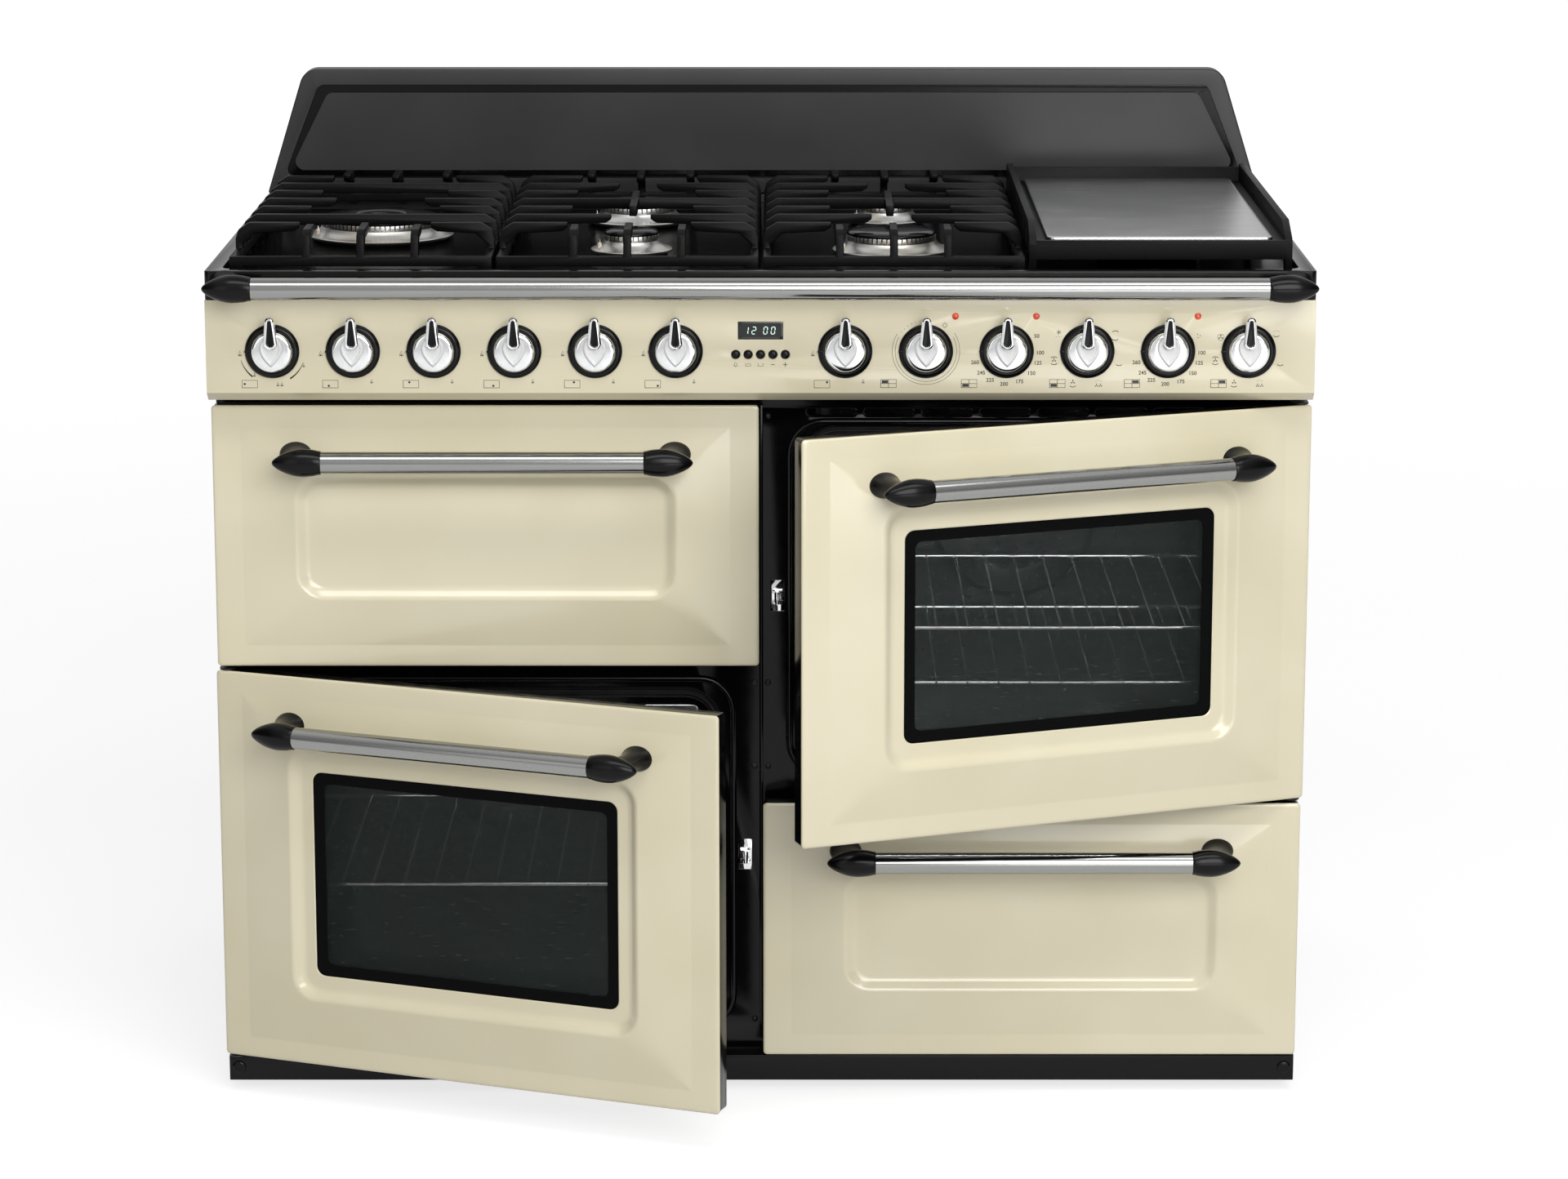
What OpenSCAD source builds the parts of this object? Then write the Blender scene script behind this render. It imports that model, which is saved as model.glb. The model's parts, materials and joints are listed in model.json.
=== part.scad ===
// Free-standing range cooker, 110 cm wide: gas hob with a griddle, two side-hinged ovens
// standing ajar, a drop-down grill door and a storage drawer.
// +X is the cooker's right hand seen from the front, +Y goes to the wall, +Z is up.
// The origin is on the floor, under the middle of the cabinet. All sizes are in millimetres.

/* [Cabinet] */
// Width of the cabinet
body_w = 1100; // [1000:10:1200]
// Depth from the doors' flat face to the back panel
body_d = 600; // [560:5:640]
// Clearance from the floor to the plinth
foot_h = 12; // [10:1:60]
// Height of the plinth
plinth_h = 27; // [20:1:60]
// Thickness of the folded sheet
sheet = 2; // [1.5:0.1:2.5]

/* [Doors] */
// Height of the two oven doors
tall_h = 407; // [400:1:440]
// Height of the grill door and of the drawer front
small_h = 268; // [260:1:300]
// Gap between a door and its neighbour
door_gap = 5; // [5:0.5:8]
// Thickness of a door at its edge
door_t = 24; // [22:1:30]
// Depth of the raised liner on a door's inside
liner_t = 11; // [8:1:14]
// Sheet thickness of the pressed fronts
skin_t = 1.5; // [1.2:0.1:2]
// Rise of the embossed crest
crest_rise = 7.5; // [4:0.5:10]
// Width of the oven windows
window_w = 334; // [280:2:340]
// Height of the oven windows
window_h = 214; // [180:2:220]
// How far the two oven doors stand open
ajar = 21; // [0:1:40]
// Thickness of the glass panes
glass_t = 4; // [3:0.5:5]

/* [Handles] */
// Diameter of the handle bars
bar_d = 22; // [18:1:26]
// Length of the visible bar
bar_l = 326; // [260:2:360]
// Length of one pointed end
end_l = 46; // [36:1:60]
// Height of the pointed ends
end_h = 28; // [24:1:34]
// Distance from the door's face to the bar's axis
standoff = 50; // [44:1:60]
// Distance from a door's top edge to the bar's axis
handle_drop = 49; // [40:1:60]

/* [Ovens] */
// From a door's side edge to the inside of the cavity behind it
cavity_side = 54; // [46:1:72]
// Height inside the two ovens
cavity_h = 320; // [290:5:330]
// Height inside the grill compartment
grill_h = 176; // [150:2:186]
// Depth inside the cavities
cavity_d = 410; // [360:5:430]
// Corner radius of the cavities
cavity_r = 22; // [12:1:40]
// Width of the door seal
seal_w = 9; // [6:1:12]
// Thickness of the door seal
seal_t = 6; // [4:0.5:6.5]

/* [Control panel] */
// Height of the control panel
panel_h = 102; // [95:1:120]
// How far the panel stands in front of the doors
panel_out = 30; // [24:1:40]
// Spacing of the knobs
knob_pitch = 80; // [72:1:82]
// Distance from the middle to the first knob on each side
knob_first = 84; // [80:1:100]
// Radius of the knob's face
knob_r = 20.5; // [17:0.5:22]
// Width of the ring round a knob
bezel_w = 6.5; // [4:0.5:8]
// Radius of the control spindles
spindle_r = 4; // [3:0.5:5]
// Radius of the clock's push buttons
button_r = 4.5; // [3.5:0.1:5]
// Spacing of the push buttons
button_pitch = 12.3; // [11:0.1:14]
// Travel of a push button
button_travel = 1.5; // [1:0.1:2]

/* [Hob] */
// Height of the hob above the control panel
hob_h = 29; // [24:1:40]
// Depth of the enamelled well below the rim
well = 8; // [5:1:12]
// Width of the rim
rim_w = 16; // [12:1:20]
// Height of the pan supports above the well
support_h = 42; // [38:1:50]
// Width of one pan support
support_w = 262; // [240:2:264]
// Gap between the pan supports and the backguard
support_gap = 49; // [36:1:70]
// Thickness of the cast fingers
finger_t = 8; // [6:0.5:10]
// Thickness of the griddle plate
plate_t = 5; // [4:0.5:8]
// Height of the backguard
guard_h = 138; // [100:2:180]
// How far each side of the backguard leans in
guard_lean = 37; // [0:1:40]
// Diameter of the handrail
rail_d = 22; // [18:1:26]
// Distance from the hob's front to the rail's axis
rail_out = 38; // [34:1:50]

/* [Drawer] */
// Width of the storage drawer's box
drawer_w = 470; // [420:5:480]
// Depth of the storage drawer's box
drawer_d = 420; // [340:5:440]
// Height of the drawer's walls
drawer_h = 170; // [120:5:190]

/* [Hidden] */
$fn = 48;
eps = 0.01;
seat = 0.3;                              // clearance of pieces that move past each other
running = 0.05;                          // radial clearance of a pin in its bore

// Heights and planes of the cabinet
floor_z = foot_h + plinth_h;             // top of the base frame
doors_z = floor_z + 3;                   // bottom of the lower doors
doors_top = doors_z + tall_h + door_gap + small_h;
panel_z = doors_top + 9;                 // bottom of the control panel
panel_top = panel_z + panel_h;
rim_z = panel_top + hob_h;               // top of the hob's rim
well_z = rim_z - well;                   // enamelled floor of the hob
face_y = -body_d / 2;                    // flat face of the doors
back_y = body_d / 2;
edge_y = face_y + 3;                     // back of the pressed fronts' folded edge
band_y = face_y + door_t;                // back of a door's edge band
liner_y = band_y + liner_t;              // back of a door's raised liner
frame_y = liner_y + seal_t + 1;          // front of the enamelled front frame
panel_y = face_y - panel_out;            // front of the control panel and hob
door_w = body_w / 2 - 2;                 // 4 mm are left open down the middle
door_x = body_w / 4 + 1;                 // middle of each column of doors
cavity_w = door_w - 2 * cavity_side;

// Bottoms of the doors
left_oven_z = doors_z;
grill_z = doors_z + tall_h + door_gap;
drawer_z = doors_z;
right_oven_z = doors_z + small_h + door_gap;
left_mid = left_oven_z + tall_h / 2;
right_mid = right_oven_z + tall_h / 2;
grill_mid = grill_z + small_h / 2;

// Hinges
pin_r = 3;
pin_l = 12;
pin_in = 9;                              // from a door's corner to its hinge pin, both ways
flap_pin_r = 2.5;
flap_pin_up = 6;                         // from the grill door's bottom edge to its pin
flap_pin_in = 7.5;                       // from the door's face to its pin
bracket_t = 1.6;
boss_r = 6;
side_hinge_x = body_w / 2 - pin_in;
side_hinge_y = face_y + pin_in;
flap_hinge_y = face_y + flap_pin_in;
flap_hinge_z = grill_z + flap_pin_up;

// Pressed fronts: [inset at the sides, inset at top and bottom, rise, corner radius]
border_x = 29;
border_z = 22;
edge_rings = [[0, 0, -3, 4], [0.8, 0.8, -0.8, 4.5], [3, 3, 0, 5], [border_x, border_z, 0, 3]];
crest_x = 82;
crest_z = 70;
crest_rings = [
    [crest_x - 3, crest_z - 3, crest_rise * 0.88, 17],
    [crest_x + 1, crest_z + 1, crest_rise, 20],
    [crest_x + 7, crest_z + 7, crest_rise * 0.9, 19],
    [crest_x + 11, crest_z + 11, crest_rise * 0.4, 15],
    [crest_x + 14, crest_z + 14, 0.5, 12]
];
window_r = 10;
pane_lap = 15;                           // how far a pane reaches past the window

// Control panel
knob_z = panel_z + 51;
button_z = knob_z - 3.3;
display_z = knob_z + 20.7;
lamp_z = knob_z + 35;
lamp_r = 3.5;
display_w = 45;
display_h = 18;
knob_x = [for (k = [5:-1:0]) -(knob_first + k * knob_pitch), for (k = [0:5]) knob_first + k * knob_pitch];
button_hole_r = button_r + 0.2;
gas_knobs = 7;                           // the first seven knobs, from the left, are gas taps

// Hob
support_pitch = support_w + 4;
support_x = [for (i = [0:3]) (i - 1.5) * support_pitch];
guard_y = back_y - 40;                   // front of the backguard
guard_t = 26;
support_front = panel_y + 45;            // front edge of the pan supports
support_d = guard_y - support_gap - support_front;
support_mid = support_front + support_d / 2;
support_z = well_z + support_h;
pair_y = support_d / 4 - 12;             // from the middle to the burners of a pair
plate_pair_y = support_d / 4 - 24;       // the same below the griddle plate
rail_z = panel_top + 17;
rail_y = panel_y - rail_out;
// [x, y, outer radius] of the burners: wok, two pairs, and two below the griddle
burners = [
    [support_x[0], support_mid, 62], [support_x[1], support_mid + pair_y, 40],
    [support_x[1], support_mid - pair_y, 28], [support_x[2], support_mid + pair_y, 28],
    [support_x[2], support_mid - pair_y, 46], [support_x[3], support_mid + plate_pair_y, 36],
    [support_x[3], support_mid - plate_pair_y, 36]
];
cup_h = 4;
burner_h = 16;
cap_h = 6;

// ---------- helpers ----------

// Exact rounded rectangle, middle at the origin
module rounded(w, h, r) {
    square([w - 2 * r, h], center = true);
    square([w, h - 2 * r], center = true);
    for (sx = [-1, 1], sz = [-1, 1])
        translate([sx * (w / 2 - r), sz * (h / 2 - r)]) circle(r);
}

// Plate in the XZ plane from y0 to y1, drawn from a 2-D outline of x and z
module upright(y0, y1) {
    translate([0, y1, 0]) rotate([90, 0, 0]) linear_extrude(y1 - y0) children();
}

// Box given by its two corners
module block(a, b) {
    translate(a) cube(b - a);
}

// Points of a rounded rectangle at depth y, anticlockwise seen from the front
function ring(w, h, r, y, n = 4) = [
    for (c = [0:3], i = [0:n])
        let (a = 90 * c + 90 * i / n,
             sx = (c == 0 || c == 3) ? 1 : -1,
             sz = (c < 2) ? 1 : -1)
        [sx * (w / 2 - r) + r * cos(a), y, sz * (h / 2 - r) + r * sin(a)]
];

// Solid skinned over rings of equal point counts; closed joins the last ring to the first
module skin(rings, closed = false) {
    m = len(rings);
    n = len(rings[0]);
    points = [for (g = rings, p = g) p];
    spans = closed ? m : m - 1;
    walls = [
        for (j = [0:spans - 1], i = [0:n - 1], t = [0, 1])
            let (a = j * n, b = ((j + 1) % m) * n, k = (i + 1) % n)
            t == 0 ? [a + i, b + i, b + k] : [a + i, b + k, a + k]
    ];
    caps = closed ? [] : [
        [for (i = [0:n - 1]) i],
        [for (i = [n - 1:-1:0]) (m - 1) * n + i]
    ];
    polyhedron(points = points, faces = concat(walls, caps), convexity = 8);
}

// Pressed front with a shallow pyramid, a crest and a sunk middle; glazed cuts the window
module pressed_front(h, glazed) {
    lips = glazed ? [[(door_w - window_w) / 2, (h - window_h) / 2, 0.5, window_r]] : [];
    front = concat(edge_rings, crest_rings, lips);
    function at(p, back) = ring(door_w - 2 * (p[0] + (back && p[2] < 0 ? skin_t : 0)),
                                h - 2 * (p[1] + (back && p[2] < 0 ? skin_t : 0)),
                                p[3],
                                face_y - p[2] + (back && p[2] > -3 ? skin_t : 0));
    outside = [for (i = [len(front) - 1:-1:0]) at(front[i], false)];
    inside = [for (p = front) at(p, true)];
    skin(concat(outside, inside), glazed);
}

// Black inner frame of a door: an edge band and a raised liner, open inside
module door_tray(h, glazed) {
    inset = 0.6;
    liner_in = 28;
    difference() {
        union() {
            upright(edge_y, band_y) rounded(door_w - 2 * inset, h - 2 * inset, 4);
            upright(band_y - eps, liner_y)
                rounded(door_w - 2 * liner_in, h - 2 * liner_in, 20);
        }
        upright(edge_y - 1, band_y - sheet)
            rounded(door_w - 2 * inset - 2 * sheet, h - 2 * inset - 2 * sheet, 3);
        upright(band_y - sheet - 1, liner_y - sheet)
            rounded(door_w - 2 * liner_in - 2 * sheet, h - 2 * liner_in - 2 * sheet, 18);
        if (glazed) upright(liner_y - sheet - 1, liner_y + 1) rounded(window_w + 20, window_h + 20, 12);
    }
}

module door_panes() {
    rim_y = face_y - 0.5 + skin_t;       // back of the pressed front beside the window
    upright(rim_y, rim_y + glass_t)
        rounded(window_w + 2 * pane_lap, window_h + 2 * pane_lap, 14);
    upright(liner_y - sheet - glass_t, liner_y - sheet)
        rounded(window_w + 56, window_h + 56, 14);
}

// Places a door's pieces, drawn round x = 0, z = 0, on the left oven, right oven and so on
module on_left_oven() {
    translate([-side_hinge_x, side_hinge_y, 0]) rotate([0, 0, -ajar])
        translate([side_hinge_x - door_x, -side_hinge_y, left_mid]) children();
}
module on_right_oven() {
    translate([side_hinge_x, side_hinge_y, 0]) rotate([0, 0, ajar])
        translate([door_x - side_hinge_x, -side_hinge_y, right_mid]) children();
}
module on_grill() {
    translate([-door_x, 0, grill_mid]) children();
}
module on_drawer() {
    translate([door_x, 0, drawer_z + small_h / 2]) children();
}

// Boss with a bore for a side door's hinge pin, at one corner; side is -1 or 1
module pin_boss(h, side, up) {
    x = side * (door_w / 2 - pin_in);
    z = up * (h / 2 - 0.6);
    translate([x, side_hinge_y, z - (up > 0 ? pin_l + 2 : 0)]) cylinder(r = boss_r, h = pin_l + 2);
}
module pin_bore(h, side, up) {
    x = side * (door_w / 2 - pin_in);
    z = up * h / 2;
    translate([x, side_hinge_y, z - (up > 0 ? pin_l + 1 : 1)])
        cylinder(r = pin_r + running, h = pin_l + 2);
}

// Door tray with hinge bosses down one side
module oven_door_tray(side) {
    difference() {
        union() {
            door_tray(tall_h, true);
            for (up = [-1, 1]) pin_boss(tall_h, side, up);
        }
        for (up = [-1, 1]) pin_bore(tall_h, side, up);
    }
}

// Handle bar along x, its axis at the given height
module handle_bar(h) {
    translate([-bar_l / 2, face_y - standoff, h / 2 - handle_drop])
        rotate([0, 90, 0]) cylinder(d = bar_d, h = bar_l);
}

// Ellipse in the YZ plane at x, middle at (y, z)
function oval(x, y, z, ry, rz, n = 12) =
    [for (i = [0:n - 1]) [x, y + ry * cos(360 * i / n), z + rz * sin(360 * i / n)]];

// Ellipse in a plane that faces y, leaning by tilt as it rises
function oval_y(x, y, rx, rz, tilt = 0, n = 12) =
    [for (i = [0:n - 1], c = [cos(360 * i / n)], v = [-rz * sin(360 * i / n)])
        [x + rx * c, y + tilt * v, v]];

// [place along the end, half depth, half height] of the leaf shape, as shares of its length and height
leaf = [
    [0.11, 0.92, 0.95], [0.3, 0.95, 1], [0.52, 0.85, 0.86], [0.72, 0.62, 0.6], [0.87, 0.4, 0.34],
    [1, 0.16, 0.12]
];

// Pointed leaf-shaped end, swelling from a bar of diameter d and drawn out to a tip, on its
// slanted post that runs back by reach to an oval foot on a face that leans by tilt
module pointed_end(d, reach, tilt = 0) {
    r = end_h / 2;
    skin(concat(
        [oval(0, 0, 0, d / 2 + 0.8, d / 2 + 0.8)],
        [for (s = leaf) oval(s[0] * end_l, 0, 0, s[1] * r, s[2] * r)]
    ));
    skin([
        oval_y(0.43 * end_l, 0, 13, r * 0.62),
        oval_y(0.48 * end_l, reach * 0.35, 11, r * 0.58),
        oval_y(0.54 * end_l, reach * 0.72, 11.5, r * 0.6),
        oval_y(0.58 * end_l, reach * 0.9, 15, r * 0.8, tilt),
        oval_y(0.58 * end_l, reach, 16.5, r * 0.92, tilt)
    ]);
}

// The door handles' feet lie on the slope that rises from the border to the crest
slope = crest_rise * 0.88 / (crest_z - 3 - border_z);
foot_rise = (handle_drop - border_z) * slope;
module handle_ends(h) {
    for (side = [0, 1]) mirror([side, 0, 0])
        translate([bar_l / 2, face_y - standoff, h / 2 - handle_drop])
            pointed_end(bar_d, standoff - foot_rise - running, slope);
}

// ---------- cabinet ----------

foot_x = body_w / 2 - 70;
foot_y = body_d / 2 - 70;
pad_r = 19;
pad_h = 7;
stem_r = 5;

module base_frame() {
    color("#1b1b1c") {
        difference() {
            block([-body_w / 2, face_y + 8, foot_h], [body_w / 2, back_y, floor_z]);
            block([-body_w / 2 + sheet, face_y + 8 + sheet, foot_h - 1],
                  [body_w / 2 - sheet, back_y - sheet, floor_z - sheet]);
        }
        for (side = [-1, 1]) drawer_runner(side);
    }
}

// Fixed runner: an angle standing on the base, beside the drawer's box and below its floor
runner_h = 40;
drawer_floor = floor_z + 6.3;            // underside of the drawer's box
module drawer_runner(side) {
    x = door_x + side * (drawer_w / 2 + seat);
    wall = x + side * sheet;
    ledge = x - side * 10;
    y0 = frame_y + sheet;
    y1 = band_y + drawer_d;
    block([min(x, wall), y0, floor_z - eps], [max(x, wall), y1, floor_z + runner_h]);
    block([min(wall, ledge), y0, floor_z - eps], [max(wall, ledge), y1, drawer_floor - seat]);
}

module levelling_feet() {
    color("#2a2a2a") for (sx = [-1, 1], sy = [-1, 1]) translate([sx * foot_x, sy * foot_y, 0]) {
        cylinder(r = pad_r, h = pad_h - 3);
        translate([0, 0, pad_h - 3 - eps]) cylinder(r1 = pad_r, r2 = 11, h = 3 + eps);
        translate([0, 0, pad_h - eps]) cylinder(r = stem_r, h = floor_z - sheet - pad_h + eps);
    }
}

module side_panels() {
    color("#202022") for (side = [-1, 1]) {
        outer = side * body_w / 2;
        inner = outer - side * sheet;
        flange = outer - side * 16;
        block([min(outer, inner), frame_y, floor_z], [max(outer, inner), back_y, panel_top]);
        block([min(inner, flange), back_y - 2 * sheet, floor_z],
              [max(inner, flange), back_y - sheet, panel_top]);
    }
}

vent_w = 44;
vent_h = 5;
inlet_x = -body_w / 2 + 60;
inlet_z = panel_z + 60;
inlet_r = 10.4775;                       // half-inch pipe thread, outside
pipe_r = 8;

module back_panel() {
    color("#8d9092") difference() {
        block([-body_w / 2 + sheet, back_y - sheet, floor_z], [body_w / 2 - sheet, back_y, panel_top]);
        for (i = [-3:3], j = [0:4])
            block([i * 62 + 225 - vent_w / 2, back_y - sheet - 1, panel_z - 40 - j * 14],
                  [i * 62 + 225 + vent_w / 2, back_y + 1, panel_z - 40 - j * 14 + vent_h]);
        translate([inlet_x, back_y + 1, inlet_z]) rotate([90, 0, 0]) cylinder(r = pipe_r + 1, h = sheet + 2);
    }
}

frame_top = panel_z - 1;
slot_pitch = 58.5;
module front_frame() {
    color("#141416") difference() {
        block([-body_w / 2 + sheet, frame_y, floor_z], [body_w / 2 - sheet, frame_y + sheet, frame_top]);
        for (m = mouths)
            translate([m[0], 0, m[1]]) upright(frame_y - 1, frame_y + sheet + 1)
                rounded(cavity_w, m[2], cavity_r);
        block([door_x - drawer_w / 2 - 4, frame_y - 1, floor_z + 6],
              [door_x + drawer_w / 2 + 4, frame_y + sheet + 1, drawer_z + small_h - 30]);
        for (i = [-3.5:3.5])
            translate([door_x + i * slot_pitch, 0, doors_top - 14])
                upright(frame_y - 1, frame_y + sheet + 1) rounded(50, 7, 3.4);
    }
}

// [x, z, height] of the three cavities' mouths: left oven, right oven and grill
mouths = [[-door_x, left_mid, cavity_h], [door_x, right_mid, cavity_h], [-door_x, grill_mid, grill_h]];
shelf_levels = [-0.32, -0.14, 0.04, 0.22];  // shelf heights, as shares of an oven's height

module cavity(h) {
    y0 = frame_y + sheet;
    difference() {
        union() {
            upright(y0, y0 + cavity_d + sheet) rounded(cavity_w + 2 * sheet, h + 2 * sheet, cavity_r + sheet);
            upright(y0, y0 + sheet) rounded(cavity_w + 26, h + 26, cavity_r + 8);
        }
        upright(y0 - 1, y0 + cavity_d) rounded(cavity_w, h, cavity_r);
    }
}

rib = 6;                                 // shelf guides pressed into the oven's sides
rib_t = 5;
rib_l = cavity_d - 60;
rib_y = frame_y + 30 + rib_l / 2;        // middle of the guides
module oven_cavities() {
    color("#17171a") for (m = mouths) translate([m[0], 0, m[1]]) {
        cavity(m[2]);
        if (m[2] == cavity_h)
            for (side = [-1, 1], s = shelf_levels)
                translate([side * (cavity_w / 2 - rib / 2 + eps / 2), rib_y, s * cavity_h])
                    cube([rib + eps, rib_l, rib_t], center = true);
    }
}

seal_in = 11;                            // from the cavity's mouth to the middle of the seal
module oven_door_seals() {
    color("#0d0d0e") for (m = mouths) translate([m[0], 0, m[1]])
        upright(frame_y - seal_t, frame_y) difference() {
            rounded(cavity_w + 2 * seal_in + seal_w, m[2] + 2 * seal_in + seal_w, cavity_r + seal_in);
            rounded(cavity_w + 2 * seal_in - seal_w, m[2] + 2 * seal_in - seal_w, cavity_r + 2);
        }
}

catch_x = 16.5;
module door_catches() {
    color("#c8cacc") for (c = [[-catch_x, left_mid], [catch_x, right_mid]]) translate([c[0], 0, c[1]]) {
        block([-7, frame_y - 2, -16], [7, frame_y, 16]);
        for (z = [-7, 5]) block([-5, frame_y - 13, z], [5, frame_y - 2 + eps, z + 2]);
        translate([0, frame_y - 11, -7]) cylinder(r = 3, h = 13);
    }
}

// Plate reaching forward from the front frame at height z, with its pin up or down
bracket_r = 8;                           // half the bracket's width
flange_h = 14;
module side_hinge(side, z, up) {
    x = side * side_hinge_x;
    translate([x, 0, z]) {
        translate([0, side_hinge_y, 0]) cylinder(r = bracket_r, h = bracket_t);
        block([-bracket_r, side_hinge_y, 0], [bracket_r, frame_y, bracket_t]);
        block([-bracket_r, frame_y - bracket_t, up > 0 ? 0 : bracket_t - flange_h],
              [bracket_r, frame_y, up > 0 ? flange_h : bracket_t]);
        translate([0, side_hinge_y, up > 0 ? bracket_t - eps : -pin_l + eps]) cylinder(r = pin_r, h = pin_l);
    }
}

// Arm beside the grill door's edge, with its pin pointing into the door
arm_t = 3;
arm_x = 3;                               // from the door's edge to the arm
module flap_hinge(side) {
    x = -door_x + side * (door_w / 2 - arm_x - arm_t / 2);
    translate([x, flap_hinge_y, flap_hinge_z]) {
        rotate([0, 90, 0]) cylinder(r = 4.2, h = arm_t, center = true);
        block([-arm_t / 2, 0, -4.2], [arm_t / 2, frame_y - flap_hinge_y, 4.2]);
        translate([side < 0 ? 0 : -arm_t / 2 - 8, 0, 0]) rotate([0, 90, 0])
            cylinder(r = flap_pin_r, h = arm_t / 2 + 8);
    }
}

module hinge_brackets() {
    color("#3a3b3d") {
        side_hinge(-1, floor_z, 1);
        side_hinge(-1, left_oven_z + tall_h + 0.4, -1);
        side_hinge(1, right_oven_z - 0.4 - bracket_t, 1);
        side_hinge(1, right_oven_z + tall_h + 0.4, -1);
        for (side = [-1, 1]) flap_hinge(side);
    }
}

// ---------- control panel ----------

bend_d = 12;                             // bevel along the panel's lower edge
bend_h = 9;
module control_panel() {
    outline = [
        [frame_y, panel_z], [panel_y + bend_d, panel_z], [panel_y, panel_z + bend_h], [panel_y, panel_top],
        [frame_y, panel_top]
    ];
    color("#dfd4bb") difference() {
        translate([-body_w / 2, 0, 0]) rotate([90, 0, 90]) linear_extrude(body_w) polygon(outline);
        translate([-body_w / 2 + sheet, 0, 0]) rotate([90, 0, 90]) linear_extrude(body_w - 2 * sheet)
            polygon([
                [frame_y + 1, panel_z + sheet], [panel_y + bend_d + sheet / 2, panel_z + sheet],
                [panel_y + sheet, panel_z + bend_h + sheet / 2], [panel_y + sheet, panel_top - sheet],
                [frame_y + 1, panel_top - sheet]
            ]);
        for (x = knob_x) through_panel(x, knob_z, spindle_r + 1);
        for (i = [-2:2]) through_panel(i * button_pitch, button_z, button_hole_r);
        for (x = lamp_x) through_panel(x, lamp_z, lamp_r);
        block([-display_w / 2, panel_y - 1, display_z - display_h / 2],
              [display_w / 2, panel_y + sheet + 1, display_z + display_h / 2]);
    }
}
lamp_x = [knob_x[7] + 29, knob_x[8] + 29, knob_x[10] + 29];
module through_panel(x, z, r) {
    translate([x, panel_y + sheet + 1, z]) rotate([90, 0, 0]) cylinder(r = r, h = sheet + 2);
}

clock_w = 96;
clock_h = 28;
clock_d = 24;                            // from the panel's face to the clock's back
button_back = 6;                         // how far a button reaches behind the panel
// Display window, its housing, and the switch board that the buttons press on below it
module clock_display() {
    board_y = panel_y + sheet + button_back + 2 * button_travel;
    board_w = 5 * button_pitch + 15;
    low = display_z - clock_h / 2;
    color("#101214") {
        block([-display_w / 2, panel_y + 0.4, display_z - display_h / 2],
              [display_w / 2, panel_y + sheet + eps, display_z + display_h / 2]);
        block([-clock_w / 2, panel_y + sheet, low], [clock_w / 2, panel_y + clock_d, low + clock_h]);
        block([-board_w / 2, board_y, button_z - 2 * button_r], [board_w / 2, panel_y + clock_d, low + eps]);
    }
}

module pilot_lamps() {
    color("#e2511f") for (x = lamp_x) translate([x, panel_y, lamp_z]) {
        rotate([-90, 0, 0]) cylinder(r = lamp_r, h = 10);
        scale([1, 0.4, 1]) sphere(r = lamp_r);
    }
}

module knob_rings() {
    color("#121213") for (x = knob_x) translate([x, panel_y, knob_z]) rotate([90, 0, 0])
        rotate_extrude() polygon([
            [knob_r + 0.5, 0], [knob_r + bezel_w + 0.5, 0], [knob_r + bezel_w + 0.5, 1.5],
            [knob_r + bezel_w - 1.5, 4], [knob_r + 1.5, 4.4], [knob_r + 0.5, 3.4]
        ]);
}

tap_w = 28;
tap_h = 32;
tap_d = 40;                              // from the panel's face to a tap's back
tap_y = panel_y + tap_d;
spindle_l = 14;                          // from the panel's face to a spindle's end
module gas_manifold() {
    color("#b9a36a") {
        for (i = [0:11]) translate([knob_x[i], 0, knob_z]) {
            block([-tap_w / 2, panel_y + sheet, -tap_h / 2], [tap_w / 2, tap_y, tap_h / 2]);
            translate([0, panel_y + sheet + eps, 0]) rotate([90, 0, 0])
                cylinder(r = spindle_r, h = sheet + spindle_l + eps);
        }
        manifold_end = knob_x[gas_knobs - 1];
        translate([inlet_x, tap_y + pipe_r - 2, inlet_z]) rotate([0, 90, 0])
            cylinder(r = pipe_r, h = manifold_end - inlet_x);
        translate([inlet_x, tap_y + pipe_r - 2, inlet_z]) rotate([-90, 0, 0])
            cylinder(r = pipe_r, h = back_y - tap_y - pipe_r + 2);
        translate([inlet_x, back_y, inlet_z]) rotate([-90, 0, 0]) cylinder(r = inlet_r, h = 22);
        translate([inlet_x, back_y - eps, inlet_z]) rotate([-90, 0, 0]) cylinder(r = 14, h = 6, $fn = 6);
    }
}

// Knob: domed disc with a raised shield and a lever that points to the mark above
module knob(i) {
    hub_y = 0.4;                         // the disc's back, clear of the panel
    color("#c9cbcd") translate([knob_x[i - 1], panel_y, knob_z]) rotate([90, 0, 0]) difference() {
        union() {
            translate([0, 0, hub_y]) rotate_extrude() polygon([
                [0, 0], [knob_r, 0], [knob_r, 4.6], [knob_r - 1.2, 5.8],
                [knob_r * 0.6, 8.2], [knob_r * 0.3, 9], [0, 9.2]
            ]);
            hull() {
                translate([0, -14, 6]) cylinder(r1 = 3.2, r2 = 1.4, h = 5, $fn = 16);
                translate([0, 6, 6]) cylinder(r1 = 11, r2 = 8.5, h = 5, $fn = 24);
            }
            hull() {
                translate([0, 8, 9]) cylinder(r1 = 7, r2 = 5, h = 8, $fn = 16);
                translate([0, 34, 11]) cylinder(r1 = 4.4, r2 = 3, h = 10, $fn = 16);
                translate([0, 20, 14]) cylinder(r1 = 5.5, r2 = 3.4, h = 9, $fn = 16);
            }
        }
        translate([0, 0, -1]) cylinder(r = spindle_r + running, h = spindle_l + 1.6);
    }
}

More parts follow.
